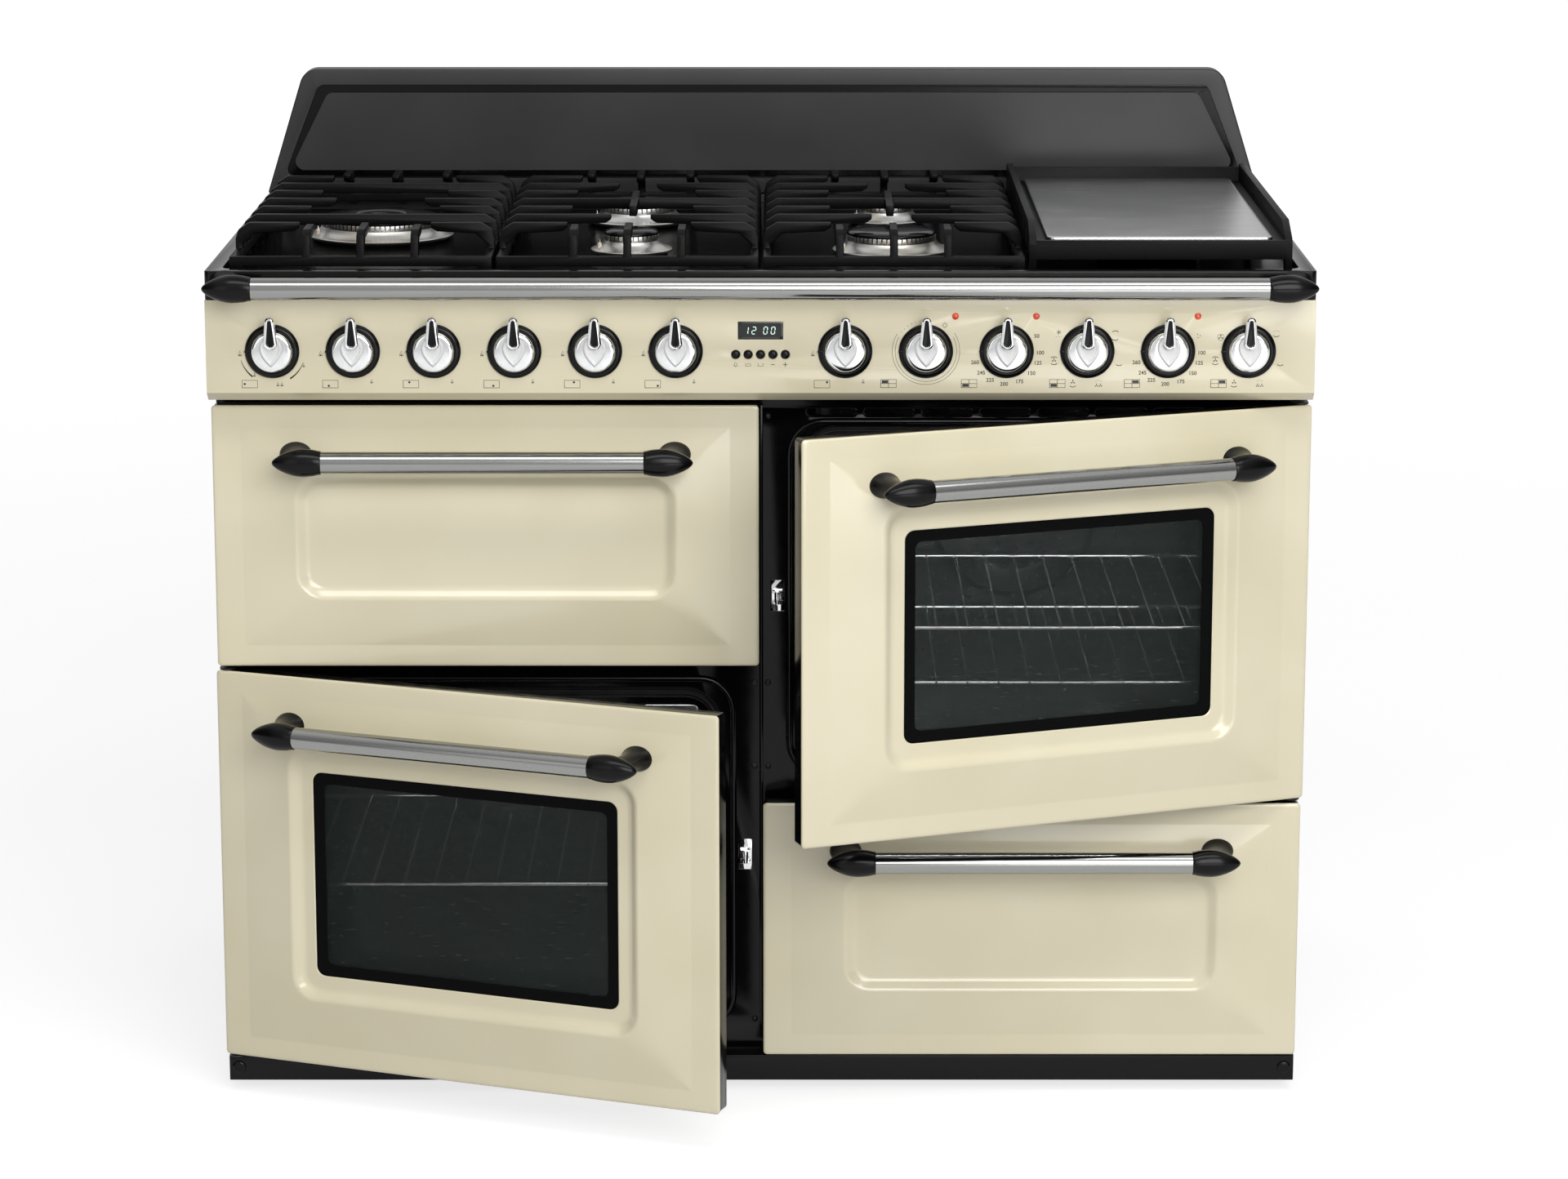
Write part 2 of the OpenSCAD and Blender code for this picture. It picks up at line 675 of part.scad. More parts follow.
module button(i) {
    x = (i - 3) * button_pitch;
    l = sheet + button_back + button_travel + 0.7;
    color("#141414") translate([x, panel_y + sheet + button_back, button_z]) rotate([90, 0, 0]) {
        cylinder(r = button_r, h = l);
        translate([0, 0, l - eps]) cylinder(r1 = button_r, r2 = button_r - 0.7, h = 0.8);
    }
}

// ---------- hob ----------

module hob_tray() {
    w = body_w;
    y0 = panel_y;
    mid = (y0 + back_y) / 2;
    d = back_y - y0;
    color("#0f1012") difference() {
        translate([0, mid, panel_top]) linear_extrude(hob_h) rounded(w, d, 6);
        translate([0, mid, panel_top - 1]) linear_extrude(hob_h - well - sheet + 1) rounded(w - 4, d - 4, 4);
        translate([0, (y0 + rim_w + guard_y - 10) / 2, well_z]) linear_extrude(well + 1)
            rounded(w - 2 * rim_w, guard_y - 10 - y0 - rim_w, 14);
    }
}

module guard_outline(in) {
    top = body_w / 2 - guard_lean;
    hull() {
        for (s = [-1, 1]) {
            translate([s * (top - 20), guard_h - 20]) circle(20 - in);
            translate([s * (body_w / 2 - 3), 3 + in]) circle(max(0.5, 3 - in / 2));
        }
    }
}

module guard_panel(in) {
    top = body_w / 2 - guard_lean - in;
    hull() for (s = [-1, 1]) {
        translate([s * (top - 10), guard_h - in - 10]) circle(10);
        translate([s * (body_w / 2 - 8 - in * 1.05 - 10), in + 10]) circle(10);
    }
}

module backguard() {
    color("#1d1e20") translate([0, 0, rim_z]) {
        difference() {
            upright(guard_y, guard_y + guard_t) guard_outline(0);
            upright(guard_y - 1, guard_y + 2.5) difference() {
                guard_panel(17);
                guard_panel(26);
            }
            upright(guard_y + 6, guard_y + guard_t + 1) guard_panel(12);
        }
    }
}

module handrail_bar() {
    l = body_w - 4 - 2 * end_l;
    color("#c3c5c7") translate([-l / 2, rail_y, rail_z]) rotate([0, 90, 0]) cylinder(d = rail_d, h = l);
}

module handrail_ends() {
    color("#111112") for (side = [0, 1]) mirror([side, 0, 0])
        translate([body_w / 2 - 2 - end_l, rail_y, rail_z]) pointed_end(rail_d, rail_out);
}

// Finger of a pan support: an arched bar from x0 to x1 with its foot at x0
module finger(x0, x1) {
    s = x1 > x0 ? 1 : -1;
    h = support_h;
    upright(-finger_t / 2, finger_t / 2) polygon([
        [x0, 0], [x0 + s * finger_t, 0], [x0 + s * finger_t, h - 22], [x0 + s * 20, h - 11],
        [x1 - s * 6, h - 9], [x1, h - 5], [x1, h], [x0 + s * 14, h], [x0 + s * 3, h - 7], [x0, h - 16]
    ]);
}

// Bar right across, with a foot at each side
module cross_bar() {
    a = support_w / 2;
    h = support_h;
    upright(-finger_t / 2, finger_t / 2) polygon([
        [-a, 0], [-a + finger_t, 0], [-a + finger_t, h - 22], [-a + 20, h - 11], [a - 20, h - 11],
        [a - finger_t, h - 22], [a - finger_t, 0], [a, 0], [a, h - 16], [a - 3, h - 7], [a - 14, h],
        [-a + 14, h], [-a + 3, h - 7], [-a, h - 16]
    ]);
}

// Hook rising from the front or back bar and pointing inwards, drawn along +Y
module hook(reach) {
    h = support_h;
    rotate([90, 0, 90]) linear_extrude(finger_t, center = true) polygon([
        [0, 6], [finger_t, 6], [finger_t, h - 20], [18, h - 11], [reach - 5, h - 9], [reach, h - 5],
        [reach, h], [12, h], [3, h - 5], [0, h - 14]
    ]);
}

levels = 7;
module support_frame(pitch) {
    a = support_w / 2;
    d = support_d;
    // Low bars all round, the front and back ones a little above the enamel
    for (s = [-1, 1]) {
        block([s < 0 ? -a : a - finger_t, finger_t, 6], [s < 0 ? -a + finger_t : a, d - finger_t, 16]);
        for (y = [0, d - finger_t])
            block([s < 0 ? -a : a - 14, y, 0], [s < 0 ? -a + 14 : a, y + finger_t, 16]);
    }
    for (y = [0, d - finger_t]) block([-a, y, 6], [a, y + finger_t, 16]);
    for (x = [-1, 0, 1]) {
        translate([x * pitch, 0, 0]) hook(x == 0 ? 62 : 50);
        translate([x * pitch, d, 0]) mirror([0, 1, 0]) hook(x == 0 ? 62 : 50);
    }
}

module wok_support() {
    support_frame(54);
    for (k = [1:levels]) {
        y = k * support_d / (levels + 1);
        translate([0, y, 0]) if (k == 2 || k == levels - 1) cross_bar();
        else for (s = [-1, 1]) finger(s * support_w / 2, s * (k % 2 == 1 ? 66 : 46));
    }
}

module double_support() {
    support_frame(54);
    for (k = [1:levels]) {
        y = k * support_d / (levels + 1);
        translate([0, y, 0]) if (k == (levels + 1) / 2) cross_bar();
        else for (s = [-1, 1]) finger(s * support_w / 2, s * (k % 4 == 2 ? 20 : 62));
    }
    // Prong along the middle bar, pointing to both burners
    translate([-finger_t / 2, support_d * 3 / 8, support_h - 11]) cube([finger_t, support_d / 4, 11]);
}

module pan_supports() {
    color("#1c1c1e") {
        translate([support_x[0], support_front, well_z]) wok_support();
        for (i = [1, 2]) translate([support_x[i], support_front, well_z]) double_support();
    }
}

plate_w = 226;
plate_front = 12;                        // from the griddle frame's front to its plate
plate_d = support_d - 34;
plate_z = support_h - 8;                 // top of the plate above the enamel
module griddle_frame() {
    a = support_w / 2;
    d = support_d;
    wall = 7;
    end_wall = 6;
    ledge_t = 6;
    ledge_z = plate_z - plate_t;
    color("#1a1a1c") translate([support_x[3], support_front, well_z]) {
        // Raised side walls with a sloping front end and a heavy foot
        for (s = [-1, 1]) translate([s < 0 ? -a : a - wall, 0, 0]) rotate([90, 0, 90])
            linear_extrude(wall) polygon([
                [0, 0], [14, 0], [20, 14], [d - 20, 14], [d - 14, 0], [d, 0], [d, support_h],
                [d - 6, support_h + 6], [40, support_h + 6], [4, support_h - 8], [0, support_h - 14]
            ]);
        block([-a + wall - eps, 0, 13], [a - wall + eps, end_wall, support_h - 10]);
        block([-a + wall - eps, d - end_wall, 13], [a - wall + eps, d, support_h + 2]);
        // Ledge that the plate lies on
        difference() {
            block([-a + wall - eps, end_wall - eps, ledge_z - ledge_t],
                [a - wall + eps, d - end_wall + eps, ledge_z]);
            block([-plate_w / 2 + 10, 24, 0], [plate_w / 2 - 10, d - 30, support_h]);
        }
    }
}

module griddle_plate() {
    mid = support_front + plate_front + plate_d / 2;
    color("#b8babc") translate([support_x[3], mid, well_z + plate_z - plate_t])
        linear_extrude(plate_t) rounded(plate_w, plate_d, 8);
}

module burner_bodies() {
    color("#c9cacb") for (b = burners) translate([b[0], b[1], well_z]) {
        cylinder(r1 = b[2] + 14, r2 = b[2] + 12, h = cup_h);
        translate([0, 0, cup_h - eps]) cylinder(r = b[2] - 6, h = 6);
        translate([0, 0, cup_h + 5]) difference() {
            cylinder(r1 = b[2] - 2, r2 = b[2], h = burner_h - 5);
            slots = round(b[2] * 0.6);
            for (k = [0:slots - 1]) rotate([0, 0, 360 * k / slots])
                translate([b[2] - 3, -1.2, 4]) cube([6, 2.4, burner_h]);
        }
    }
}

module burner_caps() {
    color("#131314") for (b = burners) translate([b[0], b[1], well_z + cup_h + burner_h]) {
        cylinder(r1 = b[2] - 1, r2 = b[2] - 2, h = cap_h - 2);
        translate([0, 0, cap_h - 2 - eps]) cylinder(r1 = b[2] - 2, r2 = b[2] - 6, h = 2);
    }
}

// ---------- oven insides ----------

rod_r = 2;
// Wire shelf of the given size, its middle at the origin
module wire_shelf(w, d) {
    for (s = [-1, 1]) {
        translate([-w / 2, s * (d / 2 - rod_r), 0]) rotate([0, 90, 0]) cylinder(r = rod_r, h = w, $fn = 16);
        translate([s * (w / 2 - rod_r), -d / 2, 0]) rotate([-90, 0, 0]) cylinder(r = rod_r, h = d, $fn = 16);
    }
    for (i = [-6:6]) translate([i * (w - 20) / 13, -d / 2, 0]) rotate([-90, 0, 0])
        cylinder(r = 1.3, h = d, $fn = 16);
}

module oven_racks() {
    w = cavity_w - 4;
    color("#c4c6c8") for (p = [[-door_x, left_mid, 1], [door_x, right_mid, 1], [door_x, right_mid, 0]])
        translate([p[0], rib_y, p[1] + shelf_levels[p[2]] * cavity_h + rib_t / 2 + rod_r])
            wire_shelf(w, rib_l + 10);
}

fan_r = 92;
// Fan covers on the ovens' back walls and the heating rod in the grill compartment
module oven_linings() {
    wall_y = frame_y + sheet + cavity_d;
    for (m = [mouths[0], mouths[1]])
        color("#2b2c2e") translate([m[0], wall_y, m[1]]) rotate([90, 0, 0]) difference() {
            cylinder(r1 = fan_r, r2 = fan_r - 8, h = 14);
            for (n = [1:3], k = [0:n * 6 - 1]) rotate([0, 0, 360 * k / (n * 6)])
                translate([n * 18, 0, -1]) cylinder(r = 5, h = 16, $fn = 16);
        }
    color("#6a5f58") translate([-door_x, 0, grill_mid + grill_h / 2 - 22]) heating_rod();
}

// Rod bent four times across the grill compartment, held at the back wall
module heating_rod() {
    wall_y = frame_y + sheet + cavity_d;
    r = 4;
    bend = 24;
    y0 = frame_y + 70;
    y1 = wall_y - 40;
    for (i = [0:5]) translate([(i - 2.5) * 2 * bend, y0, 0]) rotate([-90, 0, 0])
        cylinder(r = r, h = (i == 0 || i == 5 ? wall_y : y1) - y0);
    for (i = [0:4]) translate([(i - 2) * 2 * bend, i % 2 == 0 ? y0 : y1, 0])
        rotate([0, 0, i % 2 == 0 ? 180 : 0]) rotate_extrude(angle = 180) translate([bend, 0]) circle(r);
}

// ---------- doors ----------

cream = "#e3d8c0";
black = "#151516";
steel = "#c3c5c7";

module left_oven_door_panel() { color(cream) on_left_oven() pressed_front(tall_h, true); }
module left_oven_door_frame() { color(black) on_left_oven() oven_door_tray(-1); }
module left_oven_door_glass() { color("#3d4a46") on_left_oven() door_panes(); }
module left_oven_handle_bar() { color(steel) on_left_oven() handle_bar(tall_h); }
module left_oven_handle_ends() { color(black) on_left_oven() handle_ends(tall_h); }

module right_oven_door_panel() { color(cream) on_right_oven() pressed_front(tall_h, true); }
module right_oven_door_frame() { color(black) on_right_oven() oven_door_tray(1); }
module right_oven_door_glass() { color("#3d4a46") on_right_oven() door_panes(); }
module right_oven_handle_bar() { color(steel) on_right_oven() handle_bar(tall_h); }
module right_oven_handle_ends() { color(black) on_right_oven() handle_ends(tall_h); }

module grill_door_panel() { color(cream) on_grill() pressed_front(small_h, false); }
module grill_handle_bar() { color(steel) on_grill() handle_bar(small_h); }
module grill_handle_ends() { color(black) on_grill() handle_ends(small_h); }

// The grill door's frame is notched at its lower corners for the hinge arms
notch_w = arm_x + arm_t + 2;
notch_h = 22;
module grill_door_frame() {
    color(black) on_grill() difference() {
        union() {
            door_tray(small_h, false);
            for (s = [-1, 1]) {
                x = s * (door_w / 2 - notch_w - 8);
                block([x - 8, edge_y, -small_h / 2 + 0.6], [x + 8, band_y, -small_h / 2 + notch_h]);
            }
        }
        for (s = [-1, 1]) {
            x0 = s < 0 ? -door_w / 2 - 1 : door_w / 2 - notch_w;
            block([x0, edge_y - 1, -small_h / 2 - 1], [x0 + notch_w + 1, band_y + 1, -small_h / 2 + notch_h]);
        }
        translate([-door_w / 2, flap_hinge_y, -small_h / 2 + flap_pin_up]) rotate([0, 90, 0])
            cylinder(r = flap_pin_r + running, h = notch_w + 8);
        translate([door_w / 2 - notch_w - 8, flap_hinge_y, -small_h / 2 + flap_pin_up]) rotate([0, 90, 0])
            cylinder(r = flap_pin_r + running, h = notch_w + 8);
    }
}

module drawer_front() { color(cream) on_drawer() pressed_front(small_h, false); }
module drawer_handle_bar() { color(steel) on_drawer() handle_bar(small_h); }
module drawer_handle_ends() { color(black) on_drawer() handle_ends(small_h); }

// Open-topped box hung behind the drawer's inner frame
module drawer_box() {
    x0 = door_x - drawer_w / 2;
    x1 = door_x + drawer_w / 2;
    y1 = band_y + drawer_d;
    color(black) {
        on_drawer() difference() {
            upright(edge_y, band_y) rounded(door_w - 1.2, small_h - 1.2, 4);
            upright(edge_y - 1, band_y - sheet)
                rounded(door_w - 1.2 - 2 * sheet, small_h - 1.2 - 2 * sheet, 3);
        }
        difference() {
            block([x0, band_y - eps, drawer_floor], [x1, y1, drawer_floor + drawer_h]);
            block([x0 + sheet, band_y, drawer_floor + sheet],
                [x1 - sheet, y1 - sheet, drawer_floor + drawer_h + 1]);
        }
    }
}

base_frame();
levelling_feet();
side_panels();
back_panel();
front_frame();
oven_cavities();
oven_door_seals();
door_catches();
hinge_brackets();
hob_tray();
backguard();
control_panel();
handrail_bar();
handrail_ends();
clock_display();
pilot_lamps();
knob_rings();
gas_manifold();
pan_supports();
griddle_frame();
griddle_plate();
burner_bodies();
burner_caps();
oven_racks();
oven_linings();
left_oven_door_panel();
left_oven_door_frame();
left_oven_door_glass();
left_oven_handle_bar();
left_oven_handle_ends();
right_oven_door_panel();
right_oven_door_frame();
right_oven_door_glass();
right_oven_handle_bar();
right_oven_handle_ends();
grill_door_panel();
grill_door_frame();
grill_handle_bar();
grill_handle_ends();
drawer_front();
drawer_box();
drawer_handle_bar();
drawer_handle_ends();
for (i = [1:12]) knob(i);
for (i = [1:5]) button(i);
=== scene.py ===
import json
import math

import bmesh
import bpy
from mathutils import Matrix, Quaternion, Vector


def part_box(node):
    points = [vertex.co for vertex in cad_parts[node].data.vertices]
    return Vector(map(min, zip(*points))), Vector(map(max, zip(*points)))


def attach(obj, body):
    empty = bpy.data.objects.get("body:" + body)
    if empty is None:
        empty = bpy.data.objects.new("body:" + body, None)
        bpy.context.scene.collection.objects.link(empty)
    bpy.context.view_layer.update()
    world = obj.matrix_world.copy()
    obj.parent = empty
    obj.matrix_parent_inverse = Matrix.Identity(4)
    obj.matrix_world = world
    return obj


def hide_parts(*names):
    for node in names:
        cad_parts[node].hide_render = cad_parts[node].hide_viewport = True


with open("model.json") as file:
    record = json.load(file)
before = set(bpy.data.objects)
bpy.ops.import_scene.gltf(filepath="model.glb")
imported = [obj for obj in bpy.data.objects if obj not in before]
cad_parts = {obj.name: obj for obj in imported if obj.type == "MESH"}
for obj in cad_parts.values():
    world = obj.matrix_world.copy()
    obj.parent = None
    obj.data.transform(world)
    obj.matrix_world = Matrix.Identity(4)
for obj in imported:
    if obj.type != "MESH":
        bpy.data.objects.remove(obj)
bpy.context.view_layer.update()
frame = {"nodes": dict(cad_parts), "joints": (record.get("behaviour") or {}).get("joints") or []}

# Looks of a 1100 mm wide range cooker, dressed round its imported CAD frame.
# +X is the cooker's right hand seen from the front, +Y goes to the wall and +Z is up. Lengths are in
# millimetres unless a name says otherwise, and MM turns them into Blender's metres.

MM = 0.001
FRONT = Vector((0, -1, 0))
UP = Vector((0, 0, 1))


def node_box(*names):
    """Lowest and highest corner of some CAD nodes, in millimetres."""
    corners = [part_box(name) for name in names]
    low = Vector(min(c[0][k] for c in corners) for k in range(3)) / MM
    high = Vector(max(c[1][k] for c in corners) for k in range(3)) / MM
    return low, high


# ---------- modelling helpers ----------

def clear():
    """Object mode with nothing selected, because an operator acts on all that is selected."""
    if bpy.context.object and bpy.context.object.mode != "OBJECT":
        bpy.ops.object.mode_set(mode="OBJECT")
    bpy.ops.object.select_all(action="DESELECT")


def take(obj):
    """Selects one object alone and makes it the active one."""
    clear()
    obj.select_set(True)
    bpy.context.view_layer.objects.active = obj
    return obj


def edit(obj):
    """Edit mode on one object, with all of it selected."""
    take(obj)
    bpy.ops.object.mode_set(mode="EDIT")
    bpy.ops.mesh.select_all(action="SELECT")
    return obj


def leave():
    """Back to object mode, and returns the object that was edited."""
    bpy.ops.object.mode_set(mode="OBJECT")
    return bpy.context.object


def place(obj, location=(0, 0, 0), turn=None, scale=(1, 1, 1)):
    """Moves, turns and scales an object, and puts the result into its mesh."""
    take(obj)
    obj.location = Vector(location) * MM
    obj.rotation_mode = "QUATERNION"
    obj.rotation_quaternion = turn or Quaternion()
    obj.scale = scale
    bpy.ops.object.transform_apply(location=True, rotation=True, scale=True)
    if scale[0] * scale[1] * scale[2] < 0:
        edit(obj)
        bpy.ops.mesh.flip_normals()
        leave()
    return obj


def box(low, high):
    """Block between two corners."""
    clear()
    bpy.ops.mesh.primitive_cube_add(size=MM)
    low, high = Vector(low), Vector(high)
    return place(bpy.context.object, (low + high) / 2, scale=high - low)


def rod(start, end, radius, end_radius=None, sides=24):
    """Round or tapered bar between two points."""
    clear()
    along = Vector(end) - Vector(start)
    tip = radius if end_radius is None else end_radius
    bpy.ops.mesh.primitive_cone_add(vertices=sides, radius1=radius * MM, radius2=tip * MM,
                                    depth=along.length * MM)
    return place(bpy.context.object, (Vector(start) + Vector(end)) / 2, UP.rotation_difference(along))


def pick(kind, test):
    """In edit mode, selects the faces, or the vertices, whose place and direction pass a test."""
    bpy.ops.mesh.select_all(action="DESELECT")
    bpy.ops.mesh.select_mode(type=kind)
    mesh = bmesh.from_edit_mesh(bpy.context.object.data)
    if kind == "FACE":
        for face in mesh.faces:
            face.select = test(face.calc_center_median() / MM, face.normal)
    else:
        for vertex in mesh.verts:
            vertex.select = test(vertex.co / MM, vertex.normal)
    mesh.select_flush_mode()
    bmesh.update_edit_mesh(bpy.context.object.data)


def move(offset):
    """In edit mode, moves the selection."""
    bpy.ops.transform.translate(value=Vector(offset) * MM)


def extrude(offset):
    """In edit mode, extrudes the selection and moves what was drawn out."""
    bpy.ops.mesh.extrude_region_move(TRANSFORM_OT_translate={"value": Vector(offset) * MM})


def step_in(steps):
    """In edit mode, insets the faces that look to the front: each step is [inset, then move to the front]."""
    pick("FACE", lambda middle, normal: normal.y < -0.9)
    for thickness, forward in steps:
        bpy.ops.mesh.inset(thickness=thickness * MM, use_even_offset=True)
        move((0, -forward, 0))


def paint(obj, *materials):
    """Gives an object a row of materials, of which its faces use the first."""
    for material in materials:
        obj.data.materials.append(material)
    return obj


def assign(index):
    """In edit mode, gives the selected faces another of the object's materials."""
    bpy.context.object.active_material_index = index
    bpy.ops.object.material_slot_assign()


def join(parts):
    """Several objects made one."""
    clear()
    for part in parts:
        part.select_set(True)
    bpy.context.view_layer.objects.active = parts[0]
    bpy.ops.object.join()
    return parts[0]


def copy_of(obj, location=(0, 0, 0), turn=None, scale=(1, 1, 1)):
    """A copy with its own mesh, moved, turned or mirrored."""
    take(obj)
    bpy.ops.object.duplicate()
    return place(bpy.context.object, location, turn, scale)


def mirrored(obj):
    """A mirror copy on the other side of x = 0."""
    return copy_of(obj, scale=(-1, 1, 1))


def modifier(obj, kind, **settings):
    """Adds a modifier and applies it."""
    take(obj)
    made = obj.modifiers.new(kind.lower(), kind)
    for name, value in settings.items():
        setattr(made, name, value)
    bpy.ops.object.modifier_apply(modifier=made.name)
    return obj


def soften(obj, width, segments=2, angle=35):
    """Rounds every edge that is sharper than the angle."""
    return modifier(
        obj, "BEVEL", width=width * MM, segments=segments, limit_method="ANGLE",
        angle_limit=math.radians(angle), harden_normals=False, use_clamp_overlap=True,
    )


def cut(obj, tools):
    """Takes the tools' shapes out of a piece."""
    tool = join(tools)
    modifier(obj, "BOOLEAN", operation="DIFFERENCE", solver="EXACT", use_self=True, object=tool)
    bpy.data.objects.remove(tool)
    return obj


def face_out():
    """In edit mode, merges doubles and turns all faces outwards."""
    bpy.ops.mesh.select_all(action="SELECT")
    bpy.ops.mesh.remove_doubles(threshold=0.002 * MM)
    bpy.ops.mesh.normals_make_consistent(inside=False)


def rounded(width, height, radius, centre=(0, 0, 0), segments=6):
    """Outline of an upright rectangle with round corners, in a plane that faces the front."""
    clear()
    bpy.ops.mesh.primitive_plane_add(size=MM)
    obj = place(bpy.context.object, turn=Quaternion((1, 0, 0), math.pi / 2))
    place(obj, centre, scale=(width, 1, height))
    edit(obj)
    bpy.ops.mesh.bevel(offset=radius * MM, segments=segments, affect="VERTICES", profile=0.5)
    bpy.ops.mesh.select_all(action="SELECT")
    bpy.ops.mesh.delete(type="ONLY_FACE")
    return leave()


def oval(centre, facing, width, height, lean=0.0, points=28):
    """Outline of an ellipse that faces along "X" or "Y": half its width is level, half its height upright.

    One that faces along Y can lean its top back by an angle."""
    clear()
    bpy.ops.mesh.primitive_circle_add(vertices=points, radius=MM, fill_type="NOTHING")
    obj = place(bpy.context.object, scale=(width, height, 1))
    place(obj, turn=Quaternion((1, 0, 0), math.pi / 2 - lean))
    if facing == "X":
        place(obj, turn=Quaternion((0, 0, 1), math.pi / 2))
    return place(obj, centre)


def loft(rings, first=True, last=True, loop=False):
    """Skin over a row of outlines with equal numbers of points, its ends closed or left open.

    Two neighbouring outlines never lie in one plane, because bridging may then twist the skin."""
    for k, ring in enumerate(rings):
        ring.vertex_groups.new(name=f"ring {k}").add(range(len(ring.data.vertices)), 1, "REPLACE")
    count = len(rings)
    obj = edit(join(rings))
    bpy.ops.mesh.select_mode(type="VERT")

    def select(*which):
        bpy.ops.mesh.select_all(action="DESELECT")
        for k in which:
            obj.vertex_groups.active_index = obj.vertex_groups[f"ring {k % count}"].index
            bpy.ops.object.vertex_group_select()

    for k in range(count if loop else count - 1):
        select(k, k + 1)
        bpy.ops.mesh.bridge_edge_loops()
    for k, closed in ((0, first), (count - 1, last)):
        if closed and not loop:
            select(k)
            bpy.ops.mesh.edge_face_add()
    face_out()
    leave()
    obj.vertex_groups.clear()
    return obj


def framed(size, section, middle=(0, 0), ease=1.0, segments=6, loop=False):
    """Skin whose section runs round an upright rectangle of [width, height, corner radius].

    The section is a row of [distance inwards, y]. A corner's radius shrinks by a share of that distance."""
    width, height, radius = size
    return loft([rounded(width - 2 * inward, height - 2 * inward, radius - inward * ease,
                         (middle[0], y, middle[1]), segments) for inward, y in section], loop=loop)


def chain(points):
    """Row of edges through (x, z) points, drawn by extruding one corner; left in edit mode."""
    clear()
    bpy.ops.mesh.primitive_plane_add(size=MM)
    bpy.ops.object.mode_set(mode="EDIT")
    bpy.ops.mesh.merge(type="CENTER")
    bpy.ops.mesh.select_mode(type="VERT")
    bpy.ops.mesh.select_all(action="SELECT")
    move((points[0][0], 0, points[0][1]))
    for a, b in zip(points, points[1:]):
        extrude((b[0] - a[0], 0, b[1] - a[1]))


def lathe(profile, centre=(0, 0, 0), towards=(0, 0, 1), steps=48):
    """Turned piece: its profile is a row of (radius, height) points round an axis through a centre."""
    chain(profile)
    bpy.ops.mesh.select_all(action="SELECT")
    bpy.ops.mesh.spin(steps=steps, angle=math.tau, center=(0, 0, 0), axis=(0, 0, 1))
    face_out()
    return place(leave(), centre, UP.rotation_difference(Vector(towards)))


def prism(outline, depth, centre=(0, 0, 0), turn=None):
    """Plate cut to an outline of (x, z) points and extruded backwards, its middle at y = 0."""
    chain(outline)
    bpy.ops.mesh.select_all(action="SELECT")
    bpy.ops.mesh.edge_face_add()
    move((0, -depth / 2, 0))
    extrude((0, depth, 0))
    face_out()
    return place(leave(), centre, turn)


def arc(centre, radius, start, end, steps):
    """(x, z) points along an arc, with its angles in degrees."""
    angles = [math.radians(start + (end - start) * k / steps) for k in range(steps + 1)]
    return [(centre[0] + radius * math.cos(a), centre[1] + radius * math.sin(a)) for a in angles]


def merged_copy(name):
    """A CAD node's mesh as a piece that can be worked on, its flat faces in one piece each."""
    node = frame["nodes"][name]
    obj = bpy.data.objects.new(name + "_copy", node.data.copy())
    bpy.context.scene.collection.objects.link(obj)
    obj.data.materials.clear()
    edit(obj)
    bpy.ops.mesh.remove_doubles(threshold=0.001 * MM)
    bpy.ops.mesh.customdata_custom_splitnormals_clear()
    bpy.ops.mesh.dissolve_limited(angle_limit=math.radians(0.5))
    return leave()


def ready(name, obj, material, body, node=None, angle=35):
    """Names a finished piece, gives it its material and its body, and hides the CAD node it stands for.

    With a material of None it keeps those that it comes with."""
    take(obj)
    bpy.ops.object.shade_smooth_by_angle(angle=math.radians(angle))
    obj.name = obj.data.name = name
    if material:
        obj.data.materials.clear()
        obj.data.materials.append(material)
    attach(obj, body)
    if node:
        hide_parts(node)


# ---------- materials ----------

def linear(colour):
    """A hex sRGB colour as linear values with an alpha of 1."""
    parts = [int(colour[k:k + 2], 16) / 255 for k in (1, 3, 5)]
    return [p / 12.92 if p <= 0.04045 else ((p + 0.055) / 1.055) ** 2.4 for p in parts] + [1]


def add(tree, kind, sockets=None, **settings):
    """Adds a node with its settings; each socket gets a value, or a link from another node's socket."""
    made = tree.nodes.new("ShaderNode" + kind)
    for name, value in settings.items():
        setattr(made, name, value)
    for name, value in (sockets or {}).items():
        if isinstance(value, bpy.types.NodeSocket):
            tree.links.new(value, made.inputs[name])
        else:
            made.inputs[name].default_value = value
    return made


def start(name, colour, roughness, **sockets):
    """A new material: returns it, its tree and its shader, with the shader's constant inputs set."""
    material = bpy.data.materials.new(name)
    material.use_nodes = True
    tree = material.node_tree
    shader = tree.nodes["Principled BSDF"]
    shader.inputs["Base Color"].default_value = linear(colour)
    shader.inputs["Roughness"].default_value = roughness
    for key, value in sockets.items():
        shader.inputs[key.replace("_", " ")].default_value = value
    return material, tree, shader


def per_metre(size):
    """Texture scale at which one feature of a pattern measures the given millimetres."""
    return 1 / (size * MM)


def tinted(tree, shader, pattern, dark, light, low=0.35, high=0.65):
    """Base colour that runs between two hex colours along a pattern."""
    ramp = add(tree, "ValToRGB", {"Fac": pattern})
    ramp.color_ramp.elements[0].position = low
    ramp.color_ramp.elements[1].position = high
    ramp.color_ramp.elements[0].color = linear(dark)
    ramp.color_ramp.elements[1].color = linear(light)
    tree.links.new(ramp.outputs["Color"], shader.inputs["Base Color"])


def worn(tree, shader, pattern, smooth, rough):
    """Roughness that runs between two values along a pattern."""
    spread = add(tree, "MapRange", {"Value": pattern, "To Min": smooth, "To Max": rough})
    tree.links.new(spread.outputs["Result"], shader.inputs["Roughness"])


